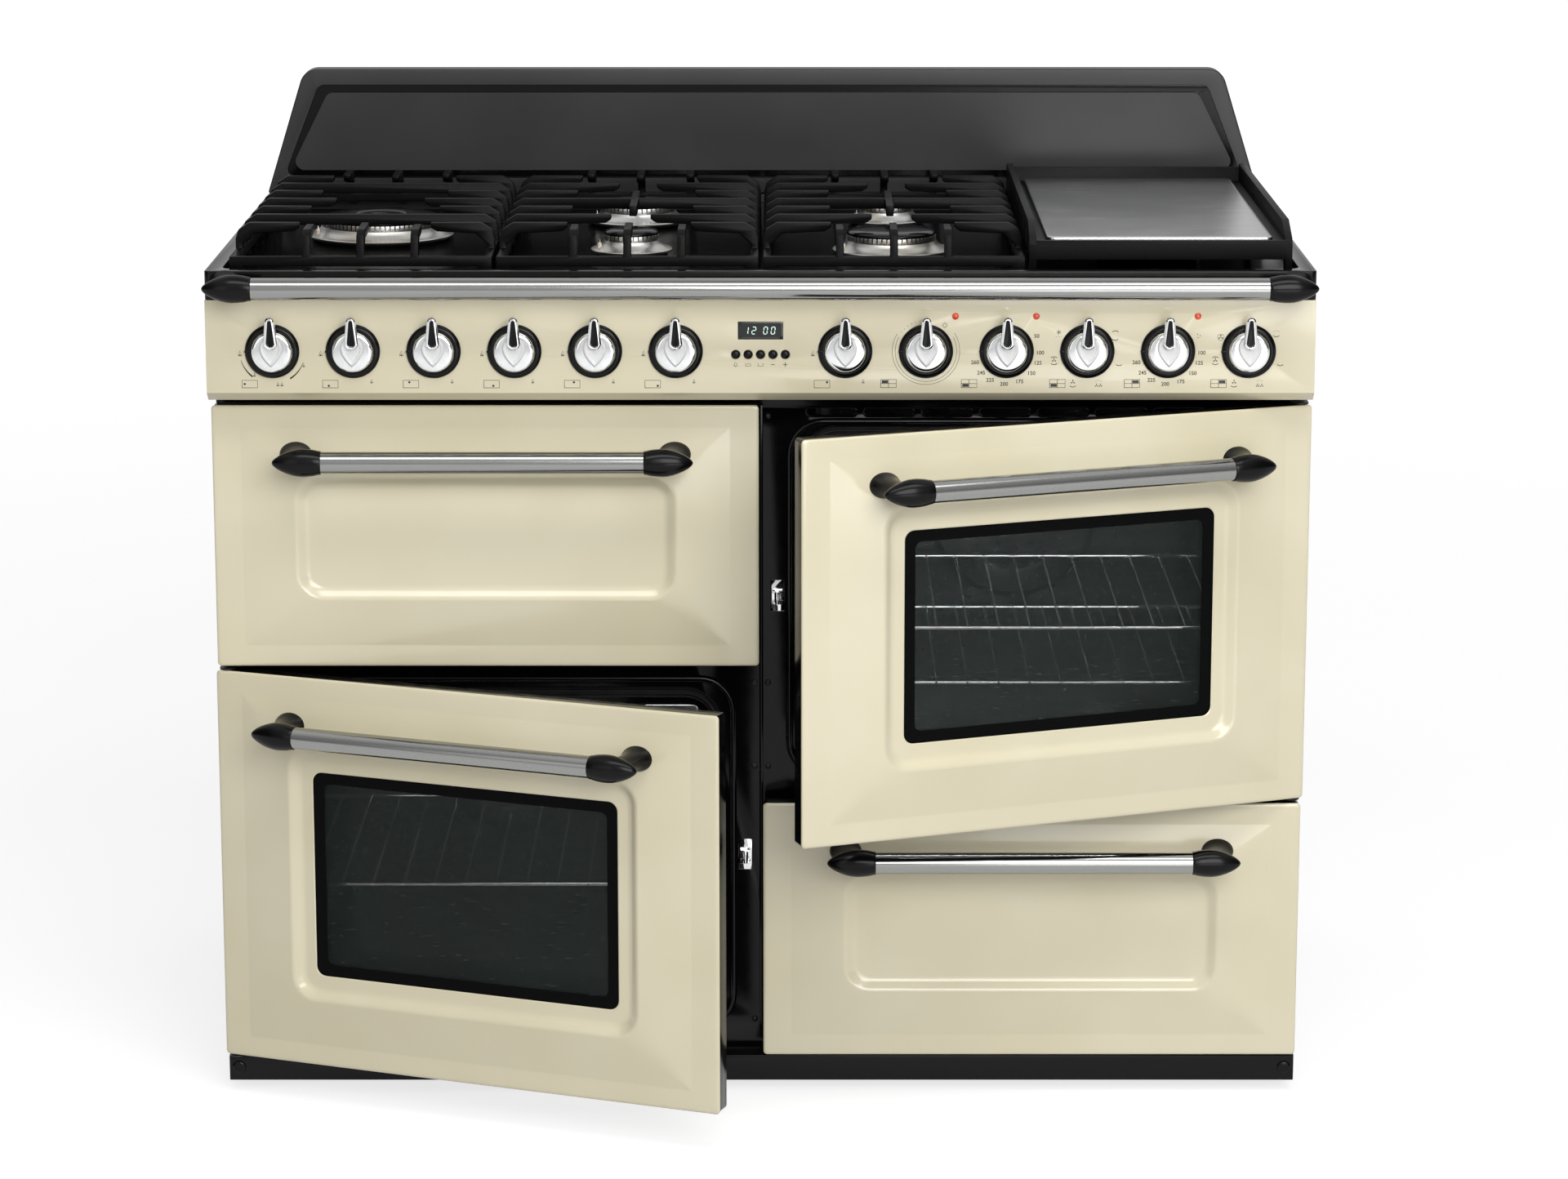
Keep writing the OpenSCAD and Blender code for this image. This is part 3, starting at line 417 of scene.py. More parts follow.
def bumped(tree, shader, pattern, height, strength=1.0, coat=False):
    """Bump of a real height in millimetres along a pattern."""
    bump = add(tree, "Bump", {"Height": pattern, "Distance": height * MM, "Strength": strength})
    tree.links.new(bump.outputs["Normal"], shader.inputs["Normal"])
    if coat:
        tree.links.new(bump.outputs["Normal"], shader.inputs["Coat Normal"])


def object_place(tree, scale=(1, 1, 1), turn=(0, 0, 0)):
    """Object coordinates through a Mapping node, which stretches or turns the pattern."""
    where = add(tree, "TexCoord")
    mapping = add(tree, "Mapping", {"Vector": where.outputs["Object"], "Scale": scale, "Rotation": turn})
    return mapping.outputs["Vector"]


def mottled(name, colour, roughness, grain, tint, wear=None, relief=None, **sockets):
    """A material whose colour, roughness and bump all follow one noise of [size in millimetres, detail]."""
    material, tree, shader = start(name, colour, roughness, **sockets)
    noise = add(tree, "TexNoise", {"Vector": object_place(tree), "Scale": per_metre(grain[0]),
                                   "Detail": grain[1]})
    tinted(tree, shader, noise.outputs["Fac"], *tint)
    if wear:
        worn(tree, shader, noise.outputs["Fac"], *wear)
    if relief:
        bumped(tree, shader, noise.outputs["Fac"], *relief)
    return material


def cream_enamel():
    """Vitreous enamel, sprayed and fired on pressed steel: glassy, with a faint orange peel."""
    material, tree, shader = start("vitreous_enamel_cream", "#e2dabc", 0.2, IOR=1.52, Coat_Weight=0.5,
                                   Coat_Roughness=0.06)
    here = object_place(tree)
    cloud = add(tree, "TexNoise", {"Vector": here, "Scale": per_metre(160), "Detail": 2.0})
    tinted(tree, shader, cloud.outputs["Fac"], "#dfd6b7", "#e5ddc1")
    peel = add(tree, "TexNoise", {"Vector": here, "Scale": per_metre(9), "Detail": 1.5})
    worn(tree, shader, peel.outputs["Fac"], 0.17, 0.24)
    bumped(tree, shader, peel.outputs["Fac"], 0.05, 0.35, coat=True)
    return material


def black_enamel():
    """Gloss black ground-coat enamel on sheet steel: mirror-like, with a slight ripple and fine pits."""
    material, tree, shader = start("vitreous_enamel_black", "#060607", 0.14, IOR=1.5, Specular_IOR_Level=0.22)
    here = object_place(tree)
    ripple = add(tree, "TexNoise", {"Vector": here, "Scale": per_metre(14), "Detail": 2.0})
    pits = add(tree, "TexNoise", {"Vector": here, "Scale": per_metre(1.6), "Detail": 3.0})
    both = add(tree, "Math", {0: ripple.outputs["Fac"], 1: pits.outputs["Fac"]}, operation="ADD")
    tinted(tree, shader, pits.outputs["Fac"], "#050506", "#0b0b0c", 0.4, 0.75)
    worn(tree, shader, ripple.outputs["Fac"], 0.1, 0.2)
    bumped(tree, shader, both.outputs["Value"], 0.06, 0.3)
    return material


def anthracite_enamel():
    """Satin anthracite enamel of the backguard: half matt, so that it takes a broad soft sheen."""
    material, tree, shader = start("satin_enamel_anthracite", "#29292a", 0.36, IOR=1.5,
                                   Specular_IOR_Level=0.4)
    here = object_place(tree)
    grain = add(tree, "TexNoise", {"Vector": here, "Scale": per_metre(1.4), "Detail": 3.0})
    cloud = add(tree, "TexNoise", {"Vector": here, "Scale": per_metre(120), "Detail": 2.0})
    tinted(tree, shader, cloud.outputs["Fac"], "#262627", "#2d2d2e")
    worn(tree, shader, grain.outputs["Fac"], 0.31, 0.43)
    bumped(tree, shader, grain.outputs["Fac"], 0.03, 0.5)
    return material


def matt_cast_iron():
    """Cast iron under matt black enamel: the sand of the mould shows as a fine coarse skin."""
    material, tree, shader = start("cast_iron_matt_enamel", "#08080a", 0.4, IOR=1.45, Specular_IOR_Level=0.13)
    here = object_place(tree)
    sand = add(tree, "TexNoise", {"Vector": here, "Scale": per_metre(1.1), "Detail": 4.0, "Roughness": 0.6})
    lumps = add(tree, "TexNoise", {"Vector": here, "Scale": per_metre(11), "Detail": 2.0})
    height = add(tree, "Math", {0: lumps.outputs["Fac"], 1: 1.6, 2: sand.outputs["Fac"]},
                 operation="MULTIPLY_ADD")
    tinted(tree, shader, sand.outputs["Fac"], "#060607", "#0d0d0e", 0.3, 0.75)
    worn(tree, shader, sand.outputs["Fac"], 0.32, 0.48)
    bumped(tree, shader, height.outputs["Value"], 0.16, 0.7)
    return material


def brushed_stainless(name="brushed_stainless_steel", colour="#a0a19f", dull="#979896", rough=(0.11, 0.16)):
    """Stainless steel, brushed along X: long fine scratches that stretch each highlight across them."""
    material, tree, shader = start(name, colour, 0.28, Metallic=1.0)
    stretch = 90  # a scratch is this many times as long as it is wide
    here = object_place(tree, (1 / stretch, 1, 1))
    # Real scratches are about 0.05 mm wide; they are drawn 0.7 mm wide, so that they show
    scratches = add(tree, "TexNoise", {"Vector": here, "Scale": per_metre(0.7), "Detail": 3.0})
    cloud = add(tree, "TexNoise", {"Vector": object_place(tree), "Scale": per_metre(90), "Detail": 2.0})
    both = add(tree, "Math", {0: scratches.outputs["Fac"], 1: cloud.outputs["Fac"]}, operation="ADD")
    half = add(tree, "Math", {0: both.outputs["Value"], 1: 0.5}, operation="MULTIPLY")
    worn(tree, shader, half.outputs["Value"], *rough)
    tinted(tree, shader, scratches.outputs["Fac"], dull, colour, 0.25, 0.6)
    bumped(tree, shader, scratches.outputs["Fac"], 0.005, 0.08)
    return material


def bright_chrome():
    """Chrome plate on polished zinc castings and on wire: a clean mirror with the faintest haze."""
    return mottled("polished_chrome_plate", "#eeeff0", 0.07, (6, 3.0), ("#e9eaeb", "#f2f3f4"), (0.05, 0.1),
                   (0.01, 0.06), Metallic=1.0)


def cast_aluminium():
    """Die-cast aluminium burner bodies: bright and slightly grainy, a little browned by heat."""
    material, tree, shader = start("die_cast_aluminium", "#c9c8c4", 0.3, Metallic=1.0)
    here = object_place(tree)
    grain = add(tree, "TexNoise", {"Vector": here, "Scale": per_metre(0.9), "Detail": 3.0})
    heat = add(tree, "TexNoise", {"Vector": here, "Scale": per_metre(45), "Detail": 2.0})
    tinted(tree, shader, heat.outputs["Fac"], "#b9b4a9", "#d3d3d1", 0.3, 0.6)
    worn(tree, shader, grain.outputs["Fac"], 0.22, 0.4)
    bumped(tree, shader, grain.outputs["Fac"], 0.03, 0.5)
    return material


def gloss_black_abs():
    """Moulded gloss black ABS or phenolic: deep black with a clean highlight."""
    material, tree, shader = start("moulded_abs_gloss_black", "#070708", 0.2, IOR=1.5, Specular_IOR_Level=0.2)
    here = object_place(tree)
    flow = add(tree, "TexNoise", {"Vector": here, "Scale": per_metre(18), "Detail": 2.0})
    grain = add(tree, "TexNoise", {"Vector": here, "Scale": per_metre(0.8), "Detail": 2.0})
    tinted(tree, shader, flow.outputs["Fac"], "#060607", "#09090a")
    worn(tree, shader, flow.outputs["Fac"], 0.16, 0.27)
    bumped(tree, shader, grain.outputs["Fac"], 0.01, 0.3)
    return material


def silicone_seal():
    """Extruded black silicone round the ovens' mouths: smooth, half matt, with dust-dull patches."""
    material, tree, shader = start("extruded_silicone_black", "#141415", 0.36, IOR=1.43)
    here = object_place(tree)
    grain = add(tree, "TexNoise", {"Vector": here, "Scale": per_metre(1.5), "Detail": 3.0})
    dust = add(tree, "TexNoise", {"Vector": here, "Scale": per_metre(30), "Detail": 2.0})
    tinted(tree, shader, dust.outputs["Fac"], "#101011", "#1c1c1d")
    worn(tree, shader, dust.outputs["Fac"], 0.3, 0.46)
    bumped(tree, shader, grain.outputs["Fac"], 0.03, 0.4)
    return material


def oven_enamel():
    """Dark oven enamel, speckled with pale grey flecks, inside the cavities and on the fan covers."""
    material, tree, shader = start("speckled_oven_enamel", "#232427", 0.24, IOR=1.52)
    here = object_place(tree)
    flecks = add(tree, "TexVoronoi", {"Vector": here, "Scale": per_metre(4)})
    tinted(tree, shader, flecks.outputs["Distance"], "#6d6f73", "#1d1e21", 0.05, 0.14)
    ripple = add(tree, "TexNoise", {"Vector": here, "Scale": per_metre(12), "Detail": 2.0})
    worn(tree, shader, ripple.outputs["Fac"], 0.18, 0.32)
    bumped(tree, shader, ripple.outputs["Fac"], 0.05, 0.4)
    return material


def tinted_glass():
    """Tinted, toughened float glass: the oven shows through it darkly, and it mirrors the room a little."""
    return mottled("toughened_glass_tinted", "#16241e", 0.03, (70, 3.0), ("#14201a", "#1a2a23"),
                   (0.015, 0.06), IOR=1.52, Alpha=0.18, Specular_IOR_Level=0.38)


def frit():
    """Black ceramic frit, screened and fired on the edge of a pane: opaque, under the glass's gloss."""
    return mottled("ceramic_frit_black", "#060707", 0.1, (2, 2.0), ("#050606", "#090a0a"), (0.07, 0.13),
                   IOR=1.45, Specular_IOR_Level=0.05)


def display_window():
    """Smoked polycarbonate over the clock's digits: nearly black, with a soft gloss."""
    return mottled("smoked_polycarbonate", "#0e1110", 0.12, (10, 2.0), ("#0c0f0e", "#121615"), (0.08, 0.16),
                   IOR=1.58)


def clock_digits():
    """Segments of the clock's display: pale green, and dimly lit."""
    return mottled("display_segments", "#cfe6dc", 0.5, (3, 1.0), ("#c5dfd4", "#daefe6"),
                   Emission_Strength=0.5, Emission_Color=linear("#c4e8dc"))


def pilot_lens():
    """Moulded orange polycarbonate lens of a pilot lamp: glossy, deeper in its middle."""
    return mottled("orange_polycarbonate_lens", "#e2430f", 0.12, (4, 1.0), ("#cc2f08", "#f0591a"),
                   (0.08, 0.18), IOR=1.58, Coat_Weight=0.6)


def screened_ink():
    """Black ceramic ink, screened on the enamel before its last firing: flat, and duller than its ground."""
    return mottled("screened_ceramic_ink", "#1d1b17", 0.3, (0.6, 2.0), ("#171511", "#2b2822"), (0.24, 0.38),
                   IOR=1.5)


def galvanised_sheet():
    """Hot-dip galvanised steel of the back: zinc crystals of a few millimetres catch the light unevenly."""
    material, tree, shader = start("galvanised_steel_sheet", "#9a9da0", 0.42, Metallic=0.9)
    here = object_place(tree)
    spangle = add(tree, "TexVoronoi", {"Vector": here, "Scale": per_metre(11)}, distance="CHEBYCHEV")
    shade = add(tree, "SeparateColor", {"Color": spangle.outputs["Color"]})
    tinted(tree, shader, shade.outputs["Red"], "#92959a", "#a6a9ab", 0.1, 0.9)
    worn(tree, shader, shade.outputs["Green"], 0.34, 0.52)
    bumped(tree, shader, spangle.outputs["Distance"], 0.03, 0.3)
    return material


def plain_brass():
    """Turned and cast brass of the taps and their gas pipe, dulled to brown in places."""
    return mottled("cast_brass", "#b08d4a", 0.32, (14, 4.0), ("#8a6a34", "#bf9d57"), (0.24, 0.46),
                   (0.03, 0.4), Metallic=1.0)


def blackened_steel():
    """Zinc-plated steel passivated black, for brackets and feet: dull, with paler rubbed patches."""
    return mottled("black_passivated_steel", "#2c2d2f", 0.42, (9, 4.0), ("#202123", "#3b3c3e"), (0.34, 0.54),
                   (0.02, 0.4), Metallic=0.7)


def steatite():
    """White steatite ceramic of the spark electrodes, faintly browned."""
    return mottled("steatite_ceramic", "#dedacd", 0.35, (6, 3.0), ("#c9c0ab", "#e6e3da"), (0.28, 0.42),
                   IOR=1.6)


def heating_rod_steel():
    """Sheathed heating element, its steel browned by heat in dull patches."""
    return mottled("heat_browned_steel", "#5c5048", 0.45, (25, 3.0), ("#3f3733", "#776459"), (0.35, 0.55),
                   Metallic=0.8)


CREAM = cream_enamel()
BLACK = black_enamel()
ANTHRACITE = anthracite_enamel()
IRON = matt_cast_iron()
STEEL = brushed_stainless()
PLATE_STEEL = brushed_stainless("brushed_stainless_plate", "#d4d5d4", "#c2c3c2", (0.18, 0.32))
CHROME = bright_chrome()
ALUMINIUM = cast_aluminium()
GLOSS_BLACK = gloss_black_abs()
SEAL = silicone_seal()
OVEN = oven_enamel()
GLASS = tinted_glass()
FRIT = frit()
DISPLAY = display_window()
DIGITS = clock_digits()
ORANGE = pilot_lens()
INK = screened_ink()
ZINC = galvanised_sheet()
BRASS = plain_brass()
DARK_STEEL = blackened_steel()
ROD_STEEL = heating_rod_steel()
CERAMIC = steatite()


# ---------- camera, light and floor ----------

def camera():
    """The photograph's viewpoint: nearly square to the front, from above the backguard's height."""
    lens = bpy.data.cameras.new("camera")
    lens.sensor_width = 36
    lens.lens = 106.1
    eye = bpy.data.objects.new("camera", lens)
    bpy.context.scene.collection.objects.link(eye)
    eye.location = (0.0233, -4.8548, 1.5321)
    tilt_down = math.radians(12.365)
    eye.rotation_euler = (math.pi / 2 - tilt_down, 0, 0)
    bpy.context.scene.camera = eye


def softbox(name, location, target, width, height, power):
    """Soft rectangular studio lamp, all in metres, aimed at a point."""
    light = bpy.data.lights.new(name, "AREA")
    light.shape = "RECTANGLE"
    light.size, light.size_y = width, height
    light.energy = power
    lamp = bpy.data.objects.new(name, light)
    bpy.context.scene.collection.objects.link(lamp)
    lamp.location = location
    aim = Vector(target) - Vector(location)
    lamp.rotation_euler = aim.to_track_quat("-Z", "Y").to_euler()


def seen_rays(tree):
    """1 for rays from the camera, from gloss or through glass, which see the studio itself."""
    path = add(tree, "LightPath")
    gloss = add(tree, "Math", {0: path.outputs["Is Camera Ray"], 1: path.outputs["Is Glossy Ray"]},
                operation="MAXIMUM")
    both = add(tree, "Math", {0: gloss.outputs["Value"], 1: path.outputs["Is Transmission Ray"]},
               operation="MAXIMUM")
    return path, both.outputs["Value"]


def studio():
    """Surroundings that the camera sees white and gloss sees as a grey room, darker towards both sides."""
    world = bpy.data.worlds.new("studio")
    bpy.context.scene.world = world
    world.use_nodes = True
    tree = world.node_tree
    tree.nodes.clear()
    path, seen = seen_rays(tree)
    direction = add(tree, "TexCoord")
    height = add(tree, "SeparateXYZ", {"Vector": direction.outputs["Generated"]})
    room = add(tree, "ValToRGB", {"Fac": add(tree, "MapRange", {
        "Value": height.outputs["Z"], "From Min": -1.0, "From Max": 1.0}).outputs["Result"]})
    # [share of the way from straight down to straight up, grey of the room there]
    bands = [(0.0, 0.3), (0.48, 0.26), (0.56, 0.22), (0.85, 0.27), (0.96, 0.3), (1.0, 0.16)]
    for k, (share, level) in enumerate(bands):
        stop = room.color_ramp.elements[k] if k < 2 else room.color_ramp.elements.new(share)
        stop.position = share
        stop.color = (level, level, level, 1)
    # Dark flags at both sides give mirrors their dark edges
    aside = add(tree, "Math", {0: height.outputs["X"]}, operation="ABSOLUTE")
    flags = add(tree, "MapRange", {"Value": aside.outputs["Value"], "From Min": 0.5, "From Max": 0.85,
                                   "To Min": 2.8, "To Max": 0.3})
    ambient = add(tree, "Background", {"Color": (1, 1, 1, 1), "Strength": 0.3})
    white = add(tree, "Background", {"Color": (1, 1, 1, 1), "Strength": 1.0})
    mirrored_room = add(tree, "Background", {"Color": room.outputs["Color"],
                                             "Strength": flags.outputs["Result"]})
    shown = add(tree, "MixShader", {"Fac": path.outputs["Is Glossy Ray"], 1: white.outputs["Background"],
                                    2: mirrored_room.outputs["Background"]})
    mixed = add(tree, "MixShader", {"Fac": seen, 1: ambient.outputs["Background"],
                                    2: shown.outputs["Shader"]})
    out = add(tree, "OutputWorld")
    tree.links.new(mixed.outputs["Shader"], out.inputs["Surface"])


def floor():
    """Plain pale floor, white where the camera sees it unshaded, which keeps the cooker's shadow."""
    clear()
    bpy.ops.mesh.primitive_plane_add(size=120)
    ground = bpy.context.object
    ground.name = "studio_floor"
    material = bpy.data.materials.new("studio_floor")
    material.use_nodes = True
    tree = material.node_tree
    tree.nodes.clear()
    path, seen = seen_rays(tree)
    plain = add(tree, "BsdfDiffuse", {"Color": (0.45, 0.45, 0.45, 1)})
    # The floor turns plain white away from the cooker; near it there is room for the shadow
    away = add(tree, "VectorMath", {0: add(tree, "TexCoord").outputs["Object"]}, operation="LENGTH")
    paper = add(tree, "MapRange", {"Value": away.outputs["Value"], "From Min": 1.2, "From Max": 7.0,
                                   "To Min": 0.75, "To Max": 0.94})
    # Gloss sees less of the glow than the eye, as on a sheet of paper that ends beside the cooker
    strength = add(tree, "MapRange", {"Value": path.outputs["Is Glossy Ray"],
                                      "To Min": paper.outputs["Result"], "To Max": 0.58})
    glow = add(tree, "Emission", {"Color": (1, 1, 1, 1), "Strength": strength.outputs["Result"]})
    lit = add(tree, "AddShader", {0: plain.outputs["BSDF"], 1: glow.outputs["Emission"]})
    mixed = add(tree, "MixShader", {"Fac": seen, 1: plain.outputs["BSDF"], 2: lit.outputs["Shader"]})
    out = add(tree, "OutputMaterial")
    tree.links.new(mixed.outputs["Shader"], out.inputs["Surface"])
    ground.data.materials.append(material)


camera()
studio()
floor()
softbox("key_softbox", (1.3, -4.3, 2.4), (0.2, -0.3, 0.45), 3.0, 2.2, 112)
softbox("fill_softbox", (-2.4, -3.6, 1.5), (0, -0.2, 0.5), 1.8, 1.8, 6)
softbox("top_softbox", (0.2, -1.5, 2.9), (0, -0.35, 0.5), 2.8, 0.7, 26)
softbox("low_softbox", (1.1, -3.0, 0.4), (0.35, -0.3, 0.2), 1.6, 0.6, 7)
for x, oven_z, power in ((-0.276, 0.39, 0.5), (0.276, 0.66, 1.2)):
    softbox("oven_glow", (x, -0.23, oven_z), (x, 0.15, oven_z - 0.2), 0.34, 0.04, power)
bpy.context.scene.view_settings.view_transform = "Standard"


# ---------- sizes shared with the frame ----------

PANEL_LOW = node_box("control_panel")[0]
GRILL_LOW, GRILL_HIGH = node_box("grill_door_panel")
DRAWER_LOW, DRAWER_HIGH = node_box("drawer_front")
LEFT_LOW, LEFT_HIGH = node_box("left_oven_door_panel")
RIGHT_LOW, RIGHT_HIGH = node_box("right_oven_door_panel")
FRAME_LOW = node_box("front_frame")[0]
JOINTS = {joint["name"]: joint for joint in frame["joints"]}

HALF_WIDTH = node_box("side_panels")[1].x
EDGE_BACK = GRILL_HIGH.y                 # back of the pressed fronts' folded edge
FACE_Y = EDGE_BACK - 3                   # flat face of the doors
DOOR_W = GRILL_HIGH.x - GRILL_LOW.x
DOOR_X = (DRAWER_LOW.x + DRAWER_HIGH.x) / 2
SMALL_H = GRILL_HIGH.z - GRILL_LOW.z
TALL_H = LEFT_HIGH.z - LEFT_LOW.z
LEFT_MID = (LEFT_LOW.z + LEFT_HIGH.z) / 2
RIGHT_MID = (RIGHT_LOW.z + RIGHT_HIGH.z) / 2
GRILL_MID = (GRILL_LOW.z + GRILL_HIGH.z) / 2
DRAWER_MID = (DRAWER_LOW.z + DRAWER_HIGH.z) / 2
SKIN_T = 1.5
WINDOW_W, WINDOW_H, WINDOW_R = 334, 214, 10
BORDER_X, BORDER_Z = 29, 22              # flat border of a pressed front
CREST_X, CREST_Z = 82, 70                # from a front's edge to its crest
CREST_RISE = 7.5
BAR_D, BAR_L = 22, 326
END_L, END_H = 46, 28
STANDOFF, HANDLE_DROP = 50, 49
EDGE_FRAME_Y = FACE_Y + 24               # back of a door's edge band
LINER_Y = EDGE_FRAME_Y + 11              # back of a door's raised liner
BACK = (0, 1, 0)


def hung(obj, joint, x, z):
    """Swings a door piece, drawn round x = 0 and z = 0, from its closed place out to its place at rest."""
    hinge = Vector(joint["pos_m"]) / MM
    hinge.z = 0
    swing = Quaternion(joint["axis"], math.radians(-joint["range_deg"][0]))
    place(obj, (x, 0, z))
    return place(obj, hinge - swing @ hinge, swing)


# Each of these puts a piece that is drawn round x = 0 and z = 0 on its front
def on_left_oven(obj):
    return hung(obj, JOINTS["left_oven_door_hinge"], -DOOR_X, LEFT_MID)


def on_right_oven(obj):
    return hung(obj, JOINTS["right_oven_door_hinge"], DOOR_X, RIGHT_MID)


def on_grill(obj):
    return place(obj, (-DOOR_X, 0, GRILL_MID))


def on_drawer(obj):
    return place(obj, (DOOR_X, 0, DRAWER_MID))


# ---------- pressed fronts ----------

def pressed_front(height, glazed):
    """Front pressed from one sheet: flat border, shallow pyramid, round crest and sunk middle."""
    shape = [  # [inset at the sides, inset at top and bottom, rise, corner radius]
        (0, 0, -3, 4), (0, 0, -1.9, 4), (0.35, 0.35, -1.05, 4.2), (1.1, 1.1, -0.4, 4.7),
        (2.3, 2.3, -0.05, 5.3), (4.5, 4.5, 0.01, 5.5), (BORDER_X - 1.5, BORDER_Z - 1.5, 0.02, 2),
        (BORDER_X - 0.4, BORDER_Z - 0.4, 0.04, 2), (BORDER_X + 0.5, BORDER_Z + 0.5, 0.12, 2),
        (BORDER_X + 1.6, BORDER_Z + 1.5, 0.3, 2.2), (BORDER_X + 4, BORDER_Z + 3.7, 0.65, 3),
    ]
    crest = [  # [how far inside the crest, share of its rise, corner radius]
        (-6, 0.87, 20), (-2.6, 0.94, 24), (-1.2, 0.975, 25.5), (0, 1, 26), (1.2, 0.984, 25.5),
        (2.4, 0.935, 24.5), (4, 0.807, 23), (8, 0.393, 20), (9.5, 0.256, 18.8), (11, 0.155, 17.6),
        (12.5, 0.087, 16.4), (14, 0.053, 15.2), (15.5, 0.05, 14), (23, 0.055, 11),
    ]
    shape += [(CREST_X + inside, CREST_Z + inside, share * CREST_RISE, radius)
              for inside, share, radius in crest]
    side, end = (DOOR_W - WINDOW_W) / 2, (height - WINDOW_H) / 2
    if glazed:
        shape += [(side - 1.2, end - 1.2, 0.5, WINDOW_R + 1), (side, end, -0.2, WINDOW_R)]
    else:
        shape.append((DOOR_W / 2 - 70, height / 2 - 12, 0.5, 6))
    rings = [rounded(DOOR_W - 2 * in_x, height - 2 * in_z, radius, (0, FACE_Y - rise, 0))
             for in_x, in_z, rise, radius in shape]
    obj = loft(rings, first=False, last=not glazed)
    turn_front(obj)
    return modifier(obj, "SOLIDIFY", thickness=SKIN_T * MM, offset=-1)


def turn_front(obj):
    """Turns an open shell's faces so that those that look along Y look to the front."""
    edit(obj)
    shell = bmesh.from_edit_mesh(obj.data)
    if sum(face.normal.y * face.calc_area() for face in shell.faces) > 0:
        bpy.ops.mesh.flip_normals()
    leave()


# [name of the front's handle, its body, its pressed sheet, height, glazed, how it hangs]
FRONTS = [
    ("left_oven", "left_oven_door", "left_oven_door_panel", TALL_H, True, on_left_oven),
    ("right_oven", "right_oven_door", "right_oven_door_panel", TALL_H, True, on_right_oven),
    ("grill", "grill_door", "grill_door_panel", SMALL_H, False, on_grill),
    ("drawer", "drawer", "drawer_front", SMALL_H, False, on_drawer),
]
for _, body, sheet, height, glazed, put_on in FRONTS:
    front = put_on(pressed_front(height, glazed))
    ready(sheet + "_pressed", front, CREAM, body, sheet, angle=28)


# ---------- handles ----------

def leaf_end(length, half_h, collar):
    """Pointed moulded end of a handle, along +X from the bar's end at the origin."""
    # [place along the end, half depth, half height] as shares of its length and half height
    leaf = [(0.0, 0.85, 0.86), (0.04, 0.87, 0.9), (0.12, 0.875, 0.95), (0.24, 0.875, 0.99), (0.35, 0.87, 1.0),
            (0.46, 0.85, 0.97), (0.57, 0.79, 0.89), (0.68, 0.7, 0.77), (0.78, 0.58, 0.63), (0.86, 0.47, 0.49),
            (0.925, 0.36, 0.34), (0.97, 0.23, 0.21), (0.993, 0.11, 0.1), (1.0, 0.03, 0.03)]
    rings = [oval((-3, 0, 0), "X", collar - 0.5, collar - 0.5), oval((-2.5, 0, 0), "X", collar, collar)]
    rings += [oval((s * length, 0, 0), "X", depth * half_h, tall * half_h) for s, depth, tall in leaf]
    return loft(rings)


def slanted_post(length, half_h, reach, lean):
    """Post that flares from behind a handle's end to its foot, which leans with the face it stands on."""
    # [place along the end, share of the reach, half width, half height as a share]
    post = [(0.43, 0, 13, 0.62), (0.45, 0.2, 11.6, 0.585), (0.48, 0.4, 11, 0.58), (0.52, 0.6, 11, 0.59),
            (0.55, 0.76, 12, 0.64), (0.57, 0.88, 14.2, 0.76), (0.58, 0.95, 15.9, 0.87), (0.58, 1, 16.5, 0.92)]
    return loft([oval((s * length, share * reach, 0), "Y", wide, tall * half_h, lean if share > 0.8 else 0)
                 for s, share, wide, tall in post])


def handle(length, diameter, half_h, reach, lean, where):
    """A bar along X through a point, and its two pointed ends as one piece."""
    r, half = diameter / 2, length / 2
    end_r, full = r * 0.93, half - 0.8  # a chamfered end's radius, and where the bar has its full one
    profile = [(0, -half), (end_r, -half), (r, -full), (r, full), (end_r, half), (0, half)]
    bar = lathe(profile, where, (1, 0, 0), steps=64)
    end = join([leaf_end(END_L, half_h, r + 0.8), slanted_post(END_L, half_h, reach, lean)])
    right = copy_of(end, (half, 0, 0))
    left = mirrored(right)
    bpy.data.objects.remove(end)
    return bar, place(join([right, left]), where)


# A handle's foot stands on the slope that runs from the flat border to just under the crest
slope = math.atan(CREST_RISE * 0.88 / (CREST_Z - 3 - BORDER_Z))
foot_rise = (HANDLE_DROP - BORDER_Z) * math.tan(slope)
for name, body, _, height, _, put_on in FRONTS:
    axis = (0, FACE_Y - STANDOFF, height / 2 - HANDLE_DROP)
    bar, ends = handle(BAR_L, BAR_D, END_H / 2, STANDOFF - foot_rise, slope, axis)
    ready(name + "_handle_bar_steel", put_on(bar), STEEL, body, name + "_handle_bar", angle=40)
    ready(name + "_handle_ends_moulded", put_on(ends), GLOSS_BLACK, body,
          name + "_handle_ends", angle=50)

rail_low, rail_high = node_box("handrail_bar")
rail_at = (rail_low + rail_high) / 2
bar, ends = handle(rail_high.x - rail_low.x, rail_high.z - rail_low.z, END_H / 2, PANEL_LOW.y - rail_at.y, 0,
                   rail_at)
ready("handrail_bar_steel", bar, STEEL, "cabinet", "handrail_bar", angle=40)
ready("handrail_ends_moulded", ends, GLOSS_BLACK, "cabinet", "handrail_ends", angle=50)


# ---------- door frames and glass ----------

